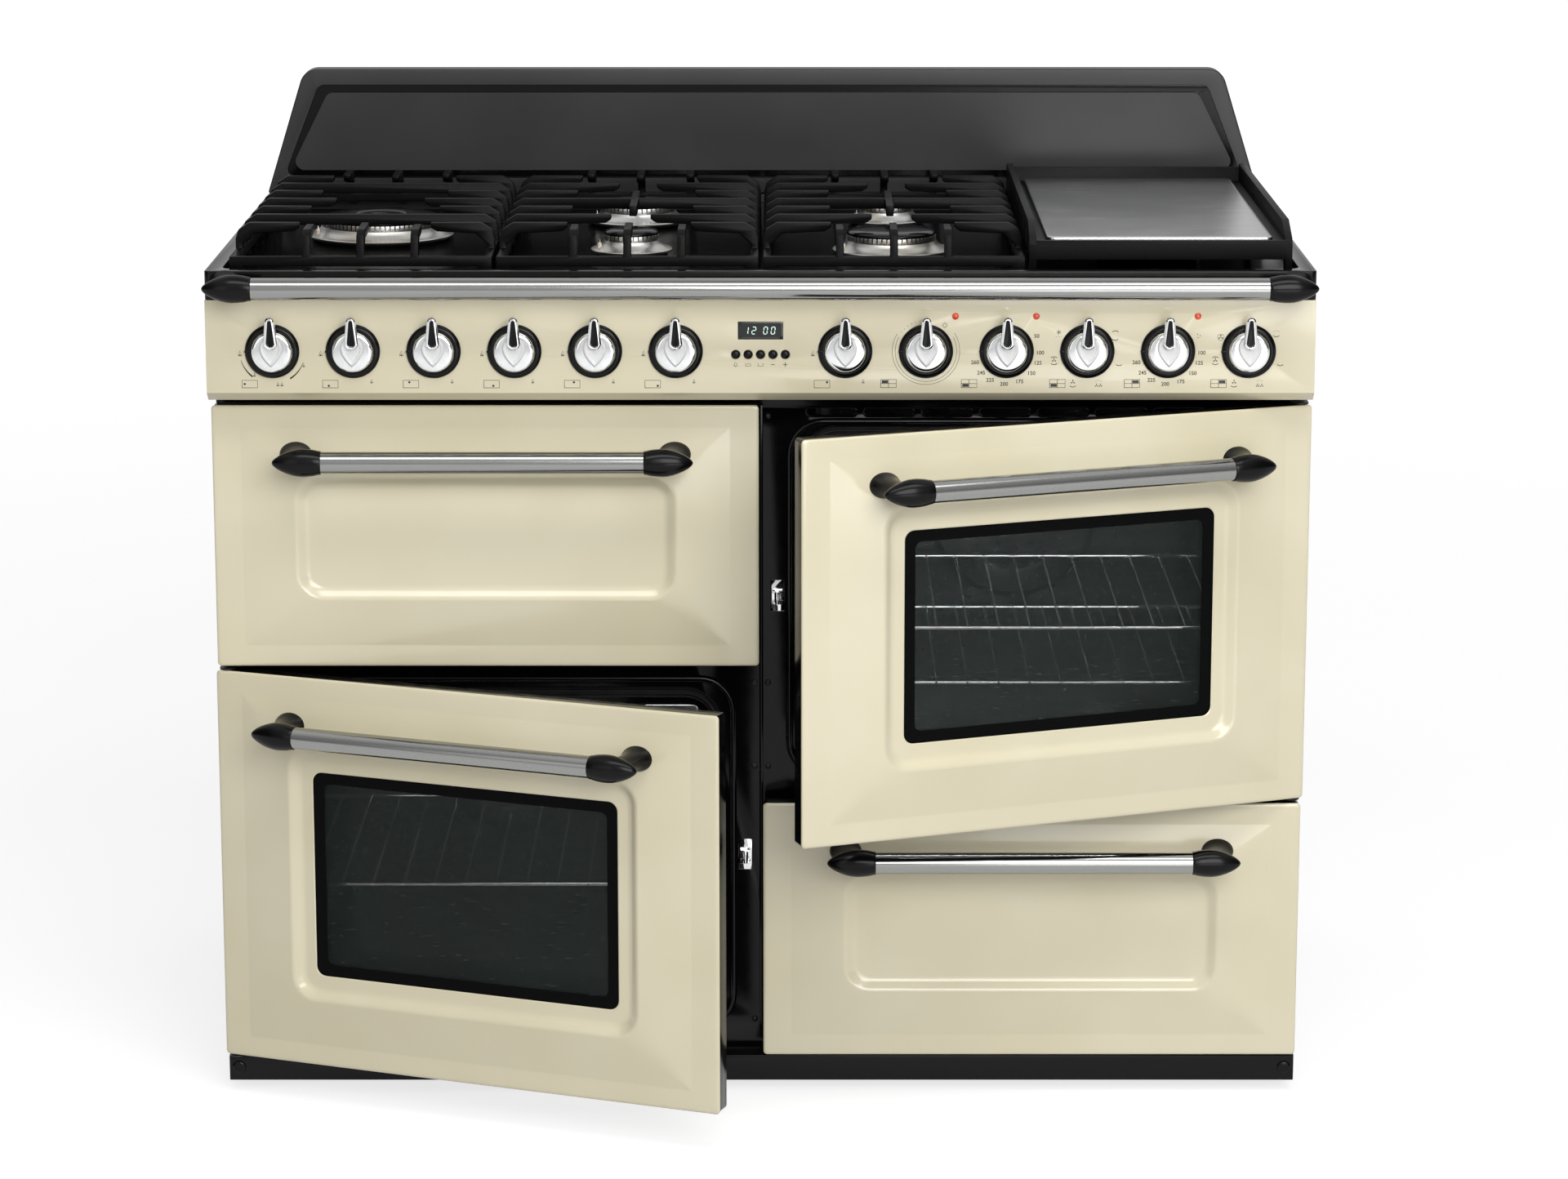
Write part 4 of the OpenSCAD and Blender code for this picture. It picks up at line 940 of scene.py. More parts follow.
def door_tray(height):
    """Black inner frame of a glazed door: its edge band and the raised liner with a rolled step."""
    def at(inward, y, radius):
        return rounded(DOOR_W - 2 * inward, height - 2 * inward, radius, (0, y, 0))

    def window(outward, y, radius):
        return rounded(WINDOW_W + 2 * outward, WINDOW_H + 2 * outward, radius, (0, y, 0))

    rings = [at(2.2, EDGE_BACK, 3), at(0.6, EDGE_BACK, 4), at(0.6, EDGE_FRAME_Y - 2.2, 4),
             at(1.2, EDGE_FRAME_Y - 0.8, 4), at(2.6, EDGE_FRAME_Y - 0.05, 4.5), at(26, EDGE_FRAME_Y, 18),
             at(27.4, EDGE_FRAME_Y + 0.9, 19), at(28, EDGE_FRAME_Y + 2.4, 20), at(28, LINER_Y - 2.6, 20),
             at(28.7, LINER_Y - 0.9, 19.4), at(30.4, LINER_Y - 0.05, 18), at(46, LINER_Y, 14),
             at(48, LINER_Y - 1.6, 13), at(52, LINER_Y - 1.65, 12),
             window(14, LINER_Y - 1.7, 14), window(12, LINER_Y - 0.6, 13), window(10.6, LINER_Y - 0.8, 12),
             window(10, LINER_Y - 2, 12)]
    obj = loft(rings, first=False, last=False)
    turn_front(obj)
    return modifier(obj, "SOLIDIFY", thickness=1.2 * MM, offset=1)


def screw_heads(spots, towards, radius=3.4):
    """Pan-head screws with crossed recesses, in millimetre spots and facing along a direction."""
    head = lathe([(0, 2.1), (radius * 0.45, 2.0), (radius * 0.8, 1.5), (radius, 0.5), (radius, 0), (0, 0)],
                 steps=20)
    reach = radius * 0.55
    cut(head, [box((-reach, -0.45, 1.2), (reach, 0.45, 3)), box((-0.45, -reach, 1.2), (0.45, reach, 3))])
    made = [copy_of(head, spot, UP.rotation_difference(Vector(towards))) for spot in spots]
    bpy.data.objects.remove(head)
    return join(made)


HINGE_IN, BOSS_R, BOSS_L = 9, 5.6, 12    # hinge pin's place from the door's side and face, and its boss
SCREW_IN = 38                            # a liner screw's place from both edges of the door
OVENS = [("left_oven_door", -1, on_left_oven), ("right_oven_door", 1, on_right_oven)]
for body, hinge_side, put_on in OVENS:
    x, y, top = hinge_side * (DOOR_W / 2 - HINGE_IN), FACE_Y + HINGE_IN, TALL_H / 2 - 1
    bosses = [rod((x, y, end * (top - BOSS_L)), (x, y, end * top), BOSS_R, sides=32) for end in (-1, 1)]
    ready(body + "_frame_enamelled", put_on(join([door_tray(TALL_H)] + bosses)), BLACK, body,
          body + "_frame", angle=30)
    corners = [(x * (DOOR_W / 2 - SCREW_IN), LINER_Y, z * (TALL_H / 2 - SCREW_IN))
               for x in (-1, 1) for z in (-1, 1)]
    screws = put_on(screw_heads(corners, BACK))
    ready(body + "_frame_screws", screws, DARK_STEEL, body, angle=40)


OUTER_LAP, INNER_LAP, PANE_T = 15, 25, 4  # how far the two panes lap the opening, and their thickness
FRIT_IN = 11                              # how far the border reaches into the opening


def pane(lap, front):
    """Glass pane behind the window, with its arrises ground off."""
    back = front + PANE_T
    return framed((WINDOW_W + 2 * lap, WINDOW_H + 2 * lap, 14),
                  [(0.5, front), (0, front + 0.5), (0, back - 0.5), (0.5, back)])


def frit_border(lap, y):
    """Screened black border on the outer pane's face: a flat ring with a thin edge."""
    margin = OUTER_LAP + FRIT_IN
    return framed((WINDOW_W + 2 * lap, WINDOW_H + 2 * lap, 12),
                  [(0, y), (0, y - 0.15), (margin, y - 0.18), (margin, y - 0.03)], ease=0.2, loop=True)


pane_front = FACE_Y + SKIN_T + 0.2
for body, _, put_on in OVENS:
    panes = join([pane(OUTER_LAP, pane_front), pane(INNER_LAP, LINER_Y - 2.2 - PANE_T)])
    ready(body + "_panes", put_on(panes), GLASS, body, body + "_glass")
    ready(body + "_frit", put_on(frit_border(OUTER_LAP - 1, pane_front - 0.02)), FRIT, body)


# ---------- control panel ----------

def middle_of(name):
    """Middle of a CAD node's box."""
    low, high = node_box(name)
    return (low + high) / 2


KNOB_X = [middle_of(f"knob_{k}").x for k in range(1, 13)]
BUTTON_X = [middle_of(f"button_{k}").x for k in range(1, 6)]
PANEL_FACE = PANEL_LOW.y
KNOB_Z = middle_of("knob_rings").z
BUTTON_Z = middle_of("button_1").z

panel = soften(merged_copy("control_panel"), 0.9, segments=3, angle=25)
ready("control_panel_folded", panel, CREAM, "cabinet", "control_panel", angle=30)


# ---------- knobs ----------

DISC_R, DISC_H = 20.5, 9.2               # chrome face of a knob and how far it stands off the panel
SHIELD_W, SHIELD_DOWN, SHIELD_UP, SHIELD_T = 23, 14, 16, 7
LEVER_TOP, LEVER_T = 37, 8               # a lever's top above the knob's axis, and its thickness
LEVER_OUT, LEVER_LEAN = 13.3, 4.2        # its middle's distance from the panel, and how far its top leans out


def knob_face():
    """Turned disc with a domed face, a stepped rim and a neck that fits the ring."""
    profile = [(0, DISC_H + 0.3), (6, DISC_H + 0.27), (12, DISC_H + 0.15), (16.5, DISC_H - 0.05),
               (18.4, DISC_H - 0.35), (19.6, DISC_H - 1.3), (DISC_R, DISC_H - 3), (DISC_R, 2.2),
               (DISC_R - 0.5, 1.2), (0, 1.2)]
    return paint(lathe(profile, towards=FRONT, steps=64), CHROME)


def knob_shield(steps=12):
    """Raised almond with a rounded rim round a sunk middle, worked from a flat plate."""
    side = []
    for k in range(steps):
        t = k / steps
        bow = math.sin(math.pi * (0.1 + 0.9 * t) ** 0.85) ** 0.85
        side.append((SHIELD_W / 2 * bow, SHIELD_UP - (SHIELD_UP + SHIELD_DOWN) * t))
    outline = [(0, -SHIELD_DOWN)] + [(-x, z) for x, z in reversed(side)] + side
    edit(prism(outline, SHIELD_T, (0, -DISC_H - 2, 0)))
    step_in([(1.4, 1.5), (0.5, 0.25), (0.6, -0.2), (1.5, -1.55)])
    return soften(leave(), 0.3, angle=40)


def knob_lever():
    """Tapered lever with a black slot down its face: it rises from the shield and leans out over the ring."""
    low_r, top_r, low_z = 7.0, 4.7, 10.5
    top_z = LEVER_TOP - top_r
    outline = arc((0, low_z), low_r, 185, 355, 12) + arc((0, top_z), top_r, 0, 180, 12)
    edit(paint(prism(outline, LEVER_T, (0, -LEVER_OUT, 0)), CHROME, GLOSS_BLACK))
    pick("VERT", lambda middle, normal: middle.z > low_z + low_r)
    move((0, -LEVER_LEAN, 0))
    step_in([(1.9, 1.5), (0.8, 0.0), (0.3, -1.0), (0.2, -0.7)])
    assign(1)
    return soften(leave(), 0.45, segments=3, angle=38)


def ring_with_tick():
    """Black ring of a knob, with a raised tick at its left."""
    profile = [(21, 0), (27, 0), (27, 1.0), (26.6, 2.1), (25.4, 3.3), (23.8, 4.1), (22.2, 4.4), (21.4, 4.2),
               (21, 3.6), (21, 0)]
    tick = box((-27.4, -4.2, -0.7), (-22.6, -1.5, 0.7))
    return join([lathe(profile, towards=FRONT, steps=72), soften(tick, 0.3)])


chrome_knob = join([knob_face(), knob_shield(), knob_lever()])
black_ring = ring_with_tick()
rings = []
for k, x in enumerate(KNOB_X, start=1):
    here, knob = (x, PANEL_FACE, KNOB_Z), f"knob_{k}"
    ready(knob + "_chromed", copy_of(chrome_knob, here), None, knob, knob, angle=40)
    rings.append(copy_of(black_ring, here))
ready("knob_rings_moulded", join(rings), GLOSS_BLACK, "cabinet", "knob_rings", angle=40)
bpy.data.objects.remove(chrome_knob)
bpy.data.objects.remove(black_ring)


# ---------- clock, buttons and lamps ----------

clock = soften(merged_copy("clock_display"), 0.35, angle=40)
ready("clock_display_case", clock, DISPLAY, "cabinet", "clock_display")
CLOCK_FACE = node_box("clock_display")[0].y
CLOCK_Z = 802.7                          # middle of the clock's window
window = framed((45, 18, 3.4), [(inward, CLOCK_FACE - out) for inward, out in (
    (0.4, -0.4), (0.4, 0.1), (0.8, 0.35), (1.6, 0.4), (2.1, 0.02))], (0, CLOCK_Z), ease=0.6)
ready("clock_window", window, DISPLAY, "cabinet", angle=30)


def segment(x, z, upright):
    """One bar of a seven-segment digit, pointed at both ends."""
    long, wide = 3.1, 0.42
    outline = [(-long / 2, 0), (-long / 2 + wide, wide), (long / 2 - wide, wide), (long / 2, 0),
               (long / 2 - wide, -wide), (-long / 2 + wide, -wide)]
    turn = Quaternion((0, 1, 0), math.pi / 2) if upright else None
    return prism(outline, 0.12, (x, 0, z), turn)


def digit(which, x):
    """Seven-segment digit that leans to the right, its middle at x."""
    lit = {"1": "bc", "2": "abged", "0": "abcdef"}[which]
    places = {"a": (0, 3.5, False), "b": (1.75, 1.75, True), "c": (1.75, -1.75, True), "d": (0, -3.5, False),
              "e": (-1.75, -1.75, True), "f": (-1.75, 1.75, True), "g": (0, 0, False)}
    lean = 0.13
    return [segment(x + dx + dz * lean, dz, upright) for dx, dz, upright in (places[s] for s in lit)]


bars = [bar for which, x in (("1", -14), ("2", -6.5), ("0", 5), ("0", 12.5)) for bar in digit(which, x)]
ready("clock_digits", place(join(bars), (0, CLOCK_FACE - 0.08, CLOCK_Z)), DIGITS, "cabinet")

for k, x in enumerate(BUTTON_X, start=1):
    button = f"button_{k}"
    out = PANEL_FACE - node_box(button)[0].y
    dome = [(0, out), (1.4, out - 0.06), (2.7, out - 0.35), (3.6, out - 0.9), (4.2, out - 1.7),
            (4.45, out - 2.6), (4.45, -6), (0, -6)]
    ready(button + "_moulded", lathe(dome, (x, PANEL_FACE, BUTTON_Z), FRONT, steps=40), GLOSS_BLACK, button,
          button, angle=50)

lamp_low, lamp_high = node_box("pilot_lamps")
lens = lathe([(0, 1.5), (1.2, 1.4), (2.2, 1.0), (2.9, 0.4), (3.0, 0.1), (3.5, 0.1), (3.5, -3), (0, -3)],
             towards=FRONT, steps=32)
lamps = [copy_of(lens, (x, PANEL_FACE, (lamp_low.z + lamp_high.z) / 2))
         for x in (lamp_low.x + 3.5, KNOB_X[8] + 29, lamp_high.x - 3.5)]
bpy.data.objects.remove(lens)
ready("pilot_lamps_moulded", join(lamps), ORANGE, "cabinet", "pilot_lamps", angle=50)


# ---------- printed marks ----------

strokes = []                             # each a row of [x, z, half width] on the panel
plates = []                              # filled marks, as pieces
INK_UP, INK_DOWN = 0.09, 0.06            # how far filled marks stand off the panel and sink into it
NARROW = 0.75                            # a line's half width, as a share of the width asked for


def line(points, width=0.55, end_width=None):
    """A printed line through (x, z) points; its width may change from start to end."""
    last = len(points) - 1
    grow = 0 if end_width is None else end_width - width
    strokes.append([(x, z, (width + grow * k / last) * NARROW) for k, (x, z) in enumerate(points)])


def curve(x, z, radius, start, end, width=0.55, end_width=None):
    """A printed arc, with a point for every nine degrees."""
    line(arc((x, z), radius, start, end, max(6, round(abs(end - start) / 9))), width, end_width)


def filled(low_x, low_z, high_x, high_z):
    """A filled rectangle."""
    plates.append(box((low_x, -INK_UP, low_z), (high_x, INK_DOWN, high_z)))


def dot(x, z, radius):
    """A filled round dot."""
    plates.append(rod((x, INK_DOWN, z), (x, -INK_UP, z), radius, sides=12))


def wedge(points):
    """A filled shape with straight sides."""
    plates.append(prism(points, INK_UP + INK_DOWN, (0, (INK_DOWN - INK_UP) / 2, 0)))


def flame(x, z, tall):
    """Gas mark: a narrow triangle with a smaller filled one at its foot."""
    half, foot = tall * 0.32, z - tall / 2
    line([(x - half, foot), (x, foot + tall), (x + half, foot), (x - half, foot)], 0.45)
    wedge([(x - half * 0.5, foot), (x, foot + tall * 0.42), (x + half * 0.5, foot)])


def frame_mark(x, z, wide, tall):
    """A rectangle drawn in line."""
    a, b = wide / 2, tall / 2
    line([(x - a, z - b), (x + a, z - b), (x + a, z + b), (x - a, z + b), (x - a, z - b - 0.2)], 0.45)


def hob_plan(x, z, dot_x, dot_z):
    """Plan of the hob with its burner marked."""
    frame_mark(x, z, 15.4, 7.6)
    dot(x + dot_x, z + dot_z, 1.15)


def front_plan(x, z, column, row):
    """Plan of the four fronts with one of them filled."""
    frame_mark(x, z, 15.4, 8.2)
    line([(x, z - 4.1), (x, z + 4.1)], 0.35)
    line([(x - 7.7, z), (x + 7.7, z)], 0.35)
    low_x, low_z = x - 6.7 + column * 7.2, z - 3.3 + row * 3.7
    filled(low_x, low_z, low_x + 6.2, low_z + 2.9)


def top_heat(x, z, dotted=False):
    """Bowed line above a mark: heat from the oven's roof."""
    if dotted:
        for angle in (50, 70, 90, 110, 130):
            x0, z0 = arc((x, z - 4.2), 4.2, angle, angle, 1)[0]
            dot(x0, z0, 0.3)
    else:
        curve(x, z - 4.2, 4.2, 45, 135)


def floor_heat(x, z):
    """Bowed line under a mark: heat from the oven's floor."""
    curve(x, z + 4.2, 4.2, 225, 315)


def fan(x, z, size=2.2):
    """Three-bladed fan."""
    for angle in (90, 210, 330):
        tip = arc((x, z), size, angle - 22, angle + 22, 2)
        wedge([(x, z)] + tip)


def snow(x, z):
    """Crystal over four drops, for defrosting."""
    for angle in (90, 30, 150):
        (x0, z0), (x1, z1) = (arc((x, z), 2.5, a, a, 1)[0] for a in (angle, angle + 180))
        line([(x0, z0), (x1, z1)], 0.4)
    for k in range(4):
        dot(x - 2.7 + k * 1.8, z - 4.6 + (k % 2) * 0.7, 0.35)


def word(text, x, z, size):
    """Figures or a sign set in the plain built-in face, and made mesh."""
    clear()
    bpy.ops.object.text_add()
    made = bpy.context.object
    made.data.body = text
    made.data.size = size * MM
    made.data.extrude = 0.06 * MM
    made.data.offset = 0.1 * MM         # a little bolder than the built-in face
    made.data.align_x = "CENTER"
    made.data.align_y = "CENTER"
    made.data.resolution_u = 4
    bpy.ops.object.convert(target="MESH")
    plates.append(place(place(bpy.context.object, turn=Quaternion((1, 0, 0), math.pi / 2)), (x, -0.02, z)))


def dial_numbers(x, skip=0):
    """Temperatures clockwise round an oven's knob, with the first ones left out."""
    places = [("50", 27), ("100", -3), ("125", -21), ("150", -42), ("175", -67), ("200", -94), ("225", -119),
              ("245", -139), ("260", -160)]
    for text, angle in places[skip:]:
        word(text, *arc((x, KNOB_Z), 33.2, angle, angle, 1)[0], 5.4)


PLAN_Z = KNOB_Z - 32.5                   # row of the small plans under the knobs

# Gas knobs: full flame at the left, low flame at the lower right, and the hob's plan
for k, spot in enumerate([(-5, 0), (-1.6, -1.8), (-1.6, 1.8), (1.8, -1.8), (1.8, 1.8), (5, -1.8), (5, 1.8)]):
    x = KNOB_X[k]
    flame(x - 32, KNOB_Z - 2, 5.4)
    hob_plan(x - 23, KNOB_Z - 33, *spot)
    if k:
        flame(x + 18, KNOB_Z - 30, 3.8)
x = KNOB_X[0]                            # the wok burner's knob has a scale of two swelling bows
curve(x, KNOB_Z, 32.5, 196, 232, 0.3, 1.3)
curve(x, KNOB_Z, 32.5, 302, 340, 1.3, 0.3)
flame(x - 18, KNOB_Z - 23.5, 3.4)
flame(x + 31, KNOB_Z - 14, 3.4)
for dx in (5, 9):
    flame(x + dx, KNOB_Z - 33, 3.8)

x = KNOB_X[7]                            # grill
curve(x, KNOB_Z, 30.5, 152, 388, 0.3)
curve(x, KNOB_Z, 33.5, 148, 392, 0.3)
for angle in (110, 118, 126, 134, 142):
    dot(*arc((x, KNOB_Z), 31, angle, angle, 1)[0], 0.4)
curve(x + 18.5, KNOB_Z + 26, 1.7, 0, 360, 0.34)
for angle in range(0, 360, 45):
    line([arc((x + 18.5, KNOB_Z + 26), r, angle, angle, 1)[0] for r in (2.3, 3.2)], 0.3)
front_plan(x - 37, PLAN_Z, 0, 1)

dial_numbers(KNOB_X[8])
front_plan(KNOB_X[8] - 37, PLAN_Z, 0, 0)
dial_numbers(KNOB_X[10], skip=1)
front_plan(KNOB_X[10] - 35.3, PLAN_Z, 1, 1)
for dx, dz in ((29, 17), (31.5, 15.5), (29.4, 13.6)):
    dot(KNOB_X[10] + dx, KNOB_Z + dz, 0.55)

for k, column, row in ((9, 0, 0), (11, 1, 1)):
    x = KNOB_X[k]
    front_plan(x - 29.4, PLAN_Z, column, row)
    top_heat(x - 33, KNOB_Z - 5.5)
    fan(x - 33, KNOB_Z - 9)
    floor_heat(x - 33, KNOB_Z - 13.5)
    fan(x - 14, KNOB_Z - 31)
    floor_heat(x - 14, KNOB_Z - 36)
    top_heat(x + 11.5, KNOB_Z - 29, dotted=True)
    fan(x + 9.5, KNOB_Z - 34.5, 1.8)
    fan(x + 13.5, KNOB_Z - 34.5, 1.8)
    floor_heat(x + 31.5, KNOB_Z - 14.5)
    if k == 9:
        snow(x - 28.5, KNOB_Z + 19)
        top_heat(x + 27.5, KNOB_Z + 20.5)
        floor_heat(x + 27.5, KNOB_Z + 11)
    else:
        fan(x - 28, KNOB_Z + 14, 2.4)
        curve(x - 28, KNOB_Z + 14, 3.2, 0, 360, 0.3)
        top_heat(x + 27, KNOB_Z + 20.5, dotted=True)
        floor_heat(x + 27, KNOB_Z + 14.5)

# Under the buttons: bell, duration, end, less and more
low = BUTTON_Z - 10.2
x = BUTTON_X[0]
bell = [(-2.1, -1.3), (-1.3, -0.5), (-1.1, 1.2), (0, 2.1), (1.1, 1.2), (1.3, -0.5), (2.1, -1.3), (-2.1, -1.3)]
line([(x + dx, low + dz) for dx, dz in bell], 0.34)
dot(x, low - 2.0, 0.45)
for k in (1, 2):
    x = BUTTON_X[k]
    line([(x - 2.4, low + 1.2), (x - 2.4, low - 1.5), (x + 2.4, low - 1.5), (x + 2.4, low + 1.2)], 0.34)
    if k == 1:
        line([(x - 1.2, low + 1.0), (x + 1.2, low + 1.0)], 0.34)
for x, across, up in ((BUTTON_X[3], 2, 0), (BUTTON_X[4], 2.2, 0), (BUTTON_X[4], 0, 2.2)):
    line([(x - across, low - up), (x + across, low + up)], 0.45)

drawing = bpy.data.curves.new("panel_strokes", "CURVE")
drawing.dimensions = "3D"
drawing.bevel_depth = MM                 # a point's radius is then its half width in millimetres
drawing.bevel_resolution = 1
drawing.use_fill_caps = True
for points in strokes:
    spline = drawing.splines.new("POLY")
    spline.points.add(len(points) - 1)
    for point, (x, z, half) in zip(spline.points, points):
        point.co = (x * MM, 0, z * MM, 1)
        point.radius = half
inked = bpy.data.objects.new("panel_strokes", drawing)
bpy.context.scene.collection.objects.link(inked)
take(inked)
bpy.ops.object.convert(target="MESH")
inked = place(bpy.context.object, scale=(1, 0.3, 1))
marks = place(join([inked] + plates), (0, PANEL_FACE, 0))
ready("panel_marks_printed", marks, INK, "cabinet", angle=30)


# ---------- hob ----------

WELL = 8                                 # depth of the tray's well under its rim
WELL_Z = node_box("hob_tray")[1].z - WELL
GUARD_LOW, GUARD_HIGH = node_box("backguard")
GROOVE, GROOVE_R = 5, 10                 # depth and corner radius of the groove in its face
GROOVE_IN = (17, 26)                     # the groove's two sides, inwards from the backguard's outline

tray = soften(merged_copy("hob_tray"), 1.2, segments=3, angle=40)
ready("hob_tray_enamelled", tray, BLACK, "cabinet", "hob_tray")


def guard_outline(inward, radius, foot_radius):
    """Outline of the backguard or of its groove: a low trapezium with round corners, from its foot up."""
    width, height = HALF_WIDTH * 2, GUARD_HIGH.z - GUARD_LOW.z
    lean = 37 + 0.05 * inward
    foot, top = width / 2 - inward - (5 if inward else 0), width / 2 - lean - inward
    slope = math.degrees(math.atan2(foot - top, height - 2 * inward))
    points = arc((top - radius, height - inward - radius), radius, 90, slope, 8)
    points += arc((foot - foot_radius, inward + foot_radius), foot_radius, slope, -90, 8)
    return points + [(-x, z) for x, z in reversed(points)]


def backguard():
    """Backguard folded from one sheet, with a rounded groove pressed into its face, whose floor is painted
    gloss black as painted shade in the groove.
    """
    depth = GUARD_HIGH.y - GUARD_LOW.y
    obj = prism(guard_outline(0, 20, 2), depth, ((GUARD_LOW.x + GUARD_HIGH.x) / 2, 0, 0))
    place(obj, (0, GUARD_LOW.y + depth / 2, GUARD_LOW.z))
    soften(obj, 2.4, segments=4, angle=50)
    painted_shade_floor_y = GUARD_LOW.y + GROOVE
    outer, inner = (prism(guard_outline(inward, GROOVE_R, GROOVE_R), 2 * GROOVE,
                          (0, GUARD_LOW.y, GUARD_LOW.z)) for inward in GROOVE_IN)
    cut(outer, [inner])
    cut(obj, [outer])
    soften(obj, 0.9, segments=3, angle=60)
    edit(paint(obj, ANTHRACITE, BLACK))
    # Painted shade: the groove's floor gets gloss black enamel, so that the groove reads dark
    pick("FACE", lambda middle, normal: abs(middle.y - painted_shade_floor_y) < 0.3 and normal.y < -0.9)
    assign(1)
    return leave()


ready("backguard_pressed", backguard(), None, "cabinet", "backguard", angle=30)


# ---------- pan supports and griddle ----------

for name in ("pan_supports", "griddle_frame"):
    casting = soften(merged_copy(name), 1.3, angle=28)
    ready(name + "_cast", casting, IRON, "cabinet", name, angle=40)


def griddle_plate():
    """Flat stainless plate with round corners, its edge rolled over."""
    low, high = node_box("griddle_plate")
    section = [(1.2, low.z), (0.3, low.z + 0.7), (0, low.z + 1.6), (0, high.z - 1.8), (0.5, high.z - 0.6),
               (1.6, high.z - 0.05), (4, high.z - 0.02), (12, high.z)]
    upright = framed((high.x - low.x, high.y - low.y, 8), section, ease=0.6, segments=8)
    flat = place(upright, turn=Quaternion((1, 0, 0), math.pi / 2))
    return place(flat, ((low.x + high.x) / 2, (low.y + high.y) / 2, 0))


ready("griddle_plate_brushed", griddle_plate(), PLATE_STEEL, "cabinet", "griddle_plate",
      angle=30)


# ---------- burners ----------

# [x, y, radius of the flame ring]; the first is the wok burner
BURNERS = [(-399, -37, 62), (-133, 75, 40), (-133, -149, 28), (133, 75, 28), (133, -149, 46), (399, 63, 36),
           (399, -137, 36)]
CAP_LOW, CAP_H = 20, 6                   # a cap's foot above the well, and its height
RING_WALL, RING_H = 12, 10.2             # a flame ring's wall and height
FLAME_PITCH = 5.2
WOK_HOLE, WOK_CAP_R, WOK_RING_R = 26, 23, 22  # the wok burner's inner edge, and its middle burner
WOK_DROP = 1.5                           # how much lower that one sits


def burner_cup(radius):
    """Bright skirt round a burner, which flares from under the flame ring to a rolled rim."""
    inner, outer = radius - RING_WALL, radius + 14
    return lathe([(inner, -0.5), (outer - 7, -0.5), (outer - 1.5, 2.4), (outer - 0.2, 4.0), (outer, 4.9),
                  (outer - 0.8, 5.6), (outer - 2.2, 5.8), (outer - 6, 7.2), (outer - 9.5, 9.2),
                  (radius + 2, 11.4), (radius + 0.9, 13.2), (radius + 0.2, 14.1), (radius - 1.2, 14.4),
                  (inner, 14.4), (inner, -0.5)], steps=72)


def flame_ring(radius, low):
    """Cast ring with a slot for every flame, open towards the cap."""
    inner, top = radius - RING_WALL, low + RING_H
    ring = lathe([(inner, low), (radius - 1.4, low), (radius - 0.5, low + 0.4), (radius, low + 1.2),
                  (radius, top - 0.8), (radius - 0.5, top), (inner, top), (inner, low)], steps=72)
    first = box((radius - 5, -0.8, low + 4.9), (radius + 2, 0.8, low + 12))
    count = round(math.tau * radius / FLAME_PITCH)
    slots = [copy_of(first, turn=Quaternion((0, 0, 1), math.tau * k / count)) for k in range(count)]
    bpy.data.objects.remove(first)
    return cut(ring, slots)


def cap_edge(radius, low):
    """Rolled outer edge of a cap, from its foot up."""
    return [(radius - 1.4, low), (radius - 0.5, low + 0.7), (radius - 0.4, low + 1.8),
            (radius - 1.2, low + 3.0), (radius - 3.6, low + 4.2)]


def flame_cap(radius, low):
    """Enamelled cap with a rolled edge and a faintly domed top."""
    return lathe([(0, low)] + cap_edge(radius, low) + [
        (radius * 0.78, low + 5.2), (radius * 0.5, low + CAP_H - 0.1), (0, low + CAP_H)], steps=72)


def annular_cap(radius, inner, low):
    """Ring-shaped cap of the wok burner, with three dimples in its top."""
    ring = lathe([(inner, low)] + cap_edge(radius, low) + [
        (radius - 13, low + 5.6), (inner + 9, low + 5.6), (inner + 3, low + 5.0), (inner + 0.6, low + 3.8),
        (inner, low + 2.4), (inner, low)], steps=96)
    middle = (inner + radius) / 2
    dimples = [lathe([(0, 1), (2.6, 1), (2.6, 0), (1.8, -1.0), (0, -1.3)],
                     Quaternion((0, 0, 1), math.radians(angle)) @ Vector((middle, 0, low + 5.6)), steps=20)
               for angle in (20, 140, 260)]
    return cut(ring, dimples)


bodies, caps = [], []
for k, (x, y, radius) in enumerate(BURNERS):
    here = (x, y, WELL_Z)
    bodies.append(place(join([burner_cup(radius), flame_ring(radius, CAP_LOW - RING_H)]), here))
    if k:
        caps.append(place(flame_cap(radius, CAP_LOW), here))
        continue
    # The wok burner: an outer ring, and a small burner in its middle
    caps.append(place(annular_cap(radius, WOK_HOLE, CAP_LOW), here))
    caps.append(place(flame_cap(WOK_CAP_R, CAP_LOW - WOK_DROP), here))
    dish = lathe([(0, 2), (radius - 9, 2), (radius - 9, 6), (20, 6), (14, 8), (12, 8), (0, 8)], steps=64)
    bodies.append(place(join([flame_ring(WOK_RING_R, CAP_LOW - RING_H - WOK_DROP), dish]), here))
ready("burner_bodies_cast", join(bodies), ALUMINIUM, "cabinet", "burner_bodies", angle=35)
ready("burner_caps_enamelled", join(caps), BLACK, "cabinet", "burner_caps", angle=45)


def igniter(x, y, radius):
    """Ceramic spark electrode with its steel tip, to the left of a burner's ring."""
    at = Vector((x, y, WELL_Z)) + Quaternion(UP, math.radians(200)) @ Vector((radius + 6.5, 0, 0))
    ceramic = rod(at + 2 * UP, at + 12.5 * UP, 2.4, 2.1, sides=20)
    return ceramic, rod(at + 12.4 * UP, at + 16 * UP, 0.8, sides=12)


ceramics, tips = zip(*(igniter(*burner) for burner in BURNERS[:5]))
ready("igniter_ceramics", join(ceramics), CERAMIC, "cabinet", angle=50)
ready("igniter_tips", join(tips), CHROME, "cabinet", angle=50)


# ---------- cabinet and insides ----------

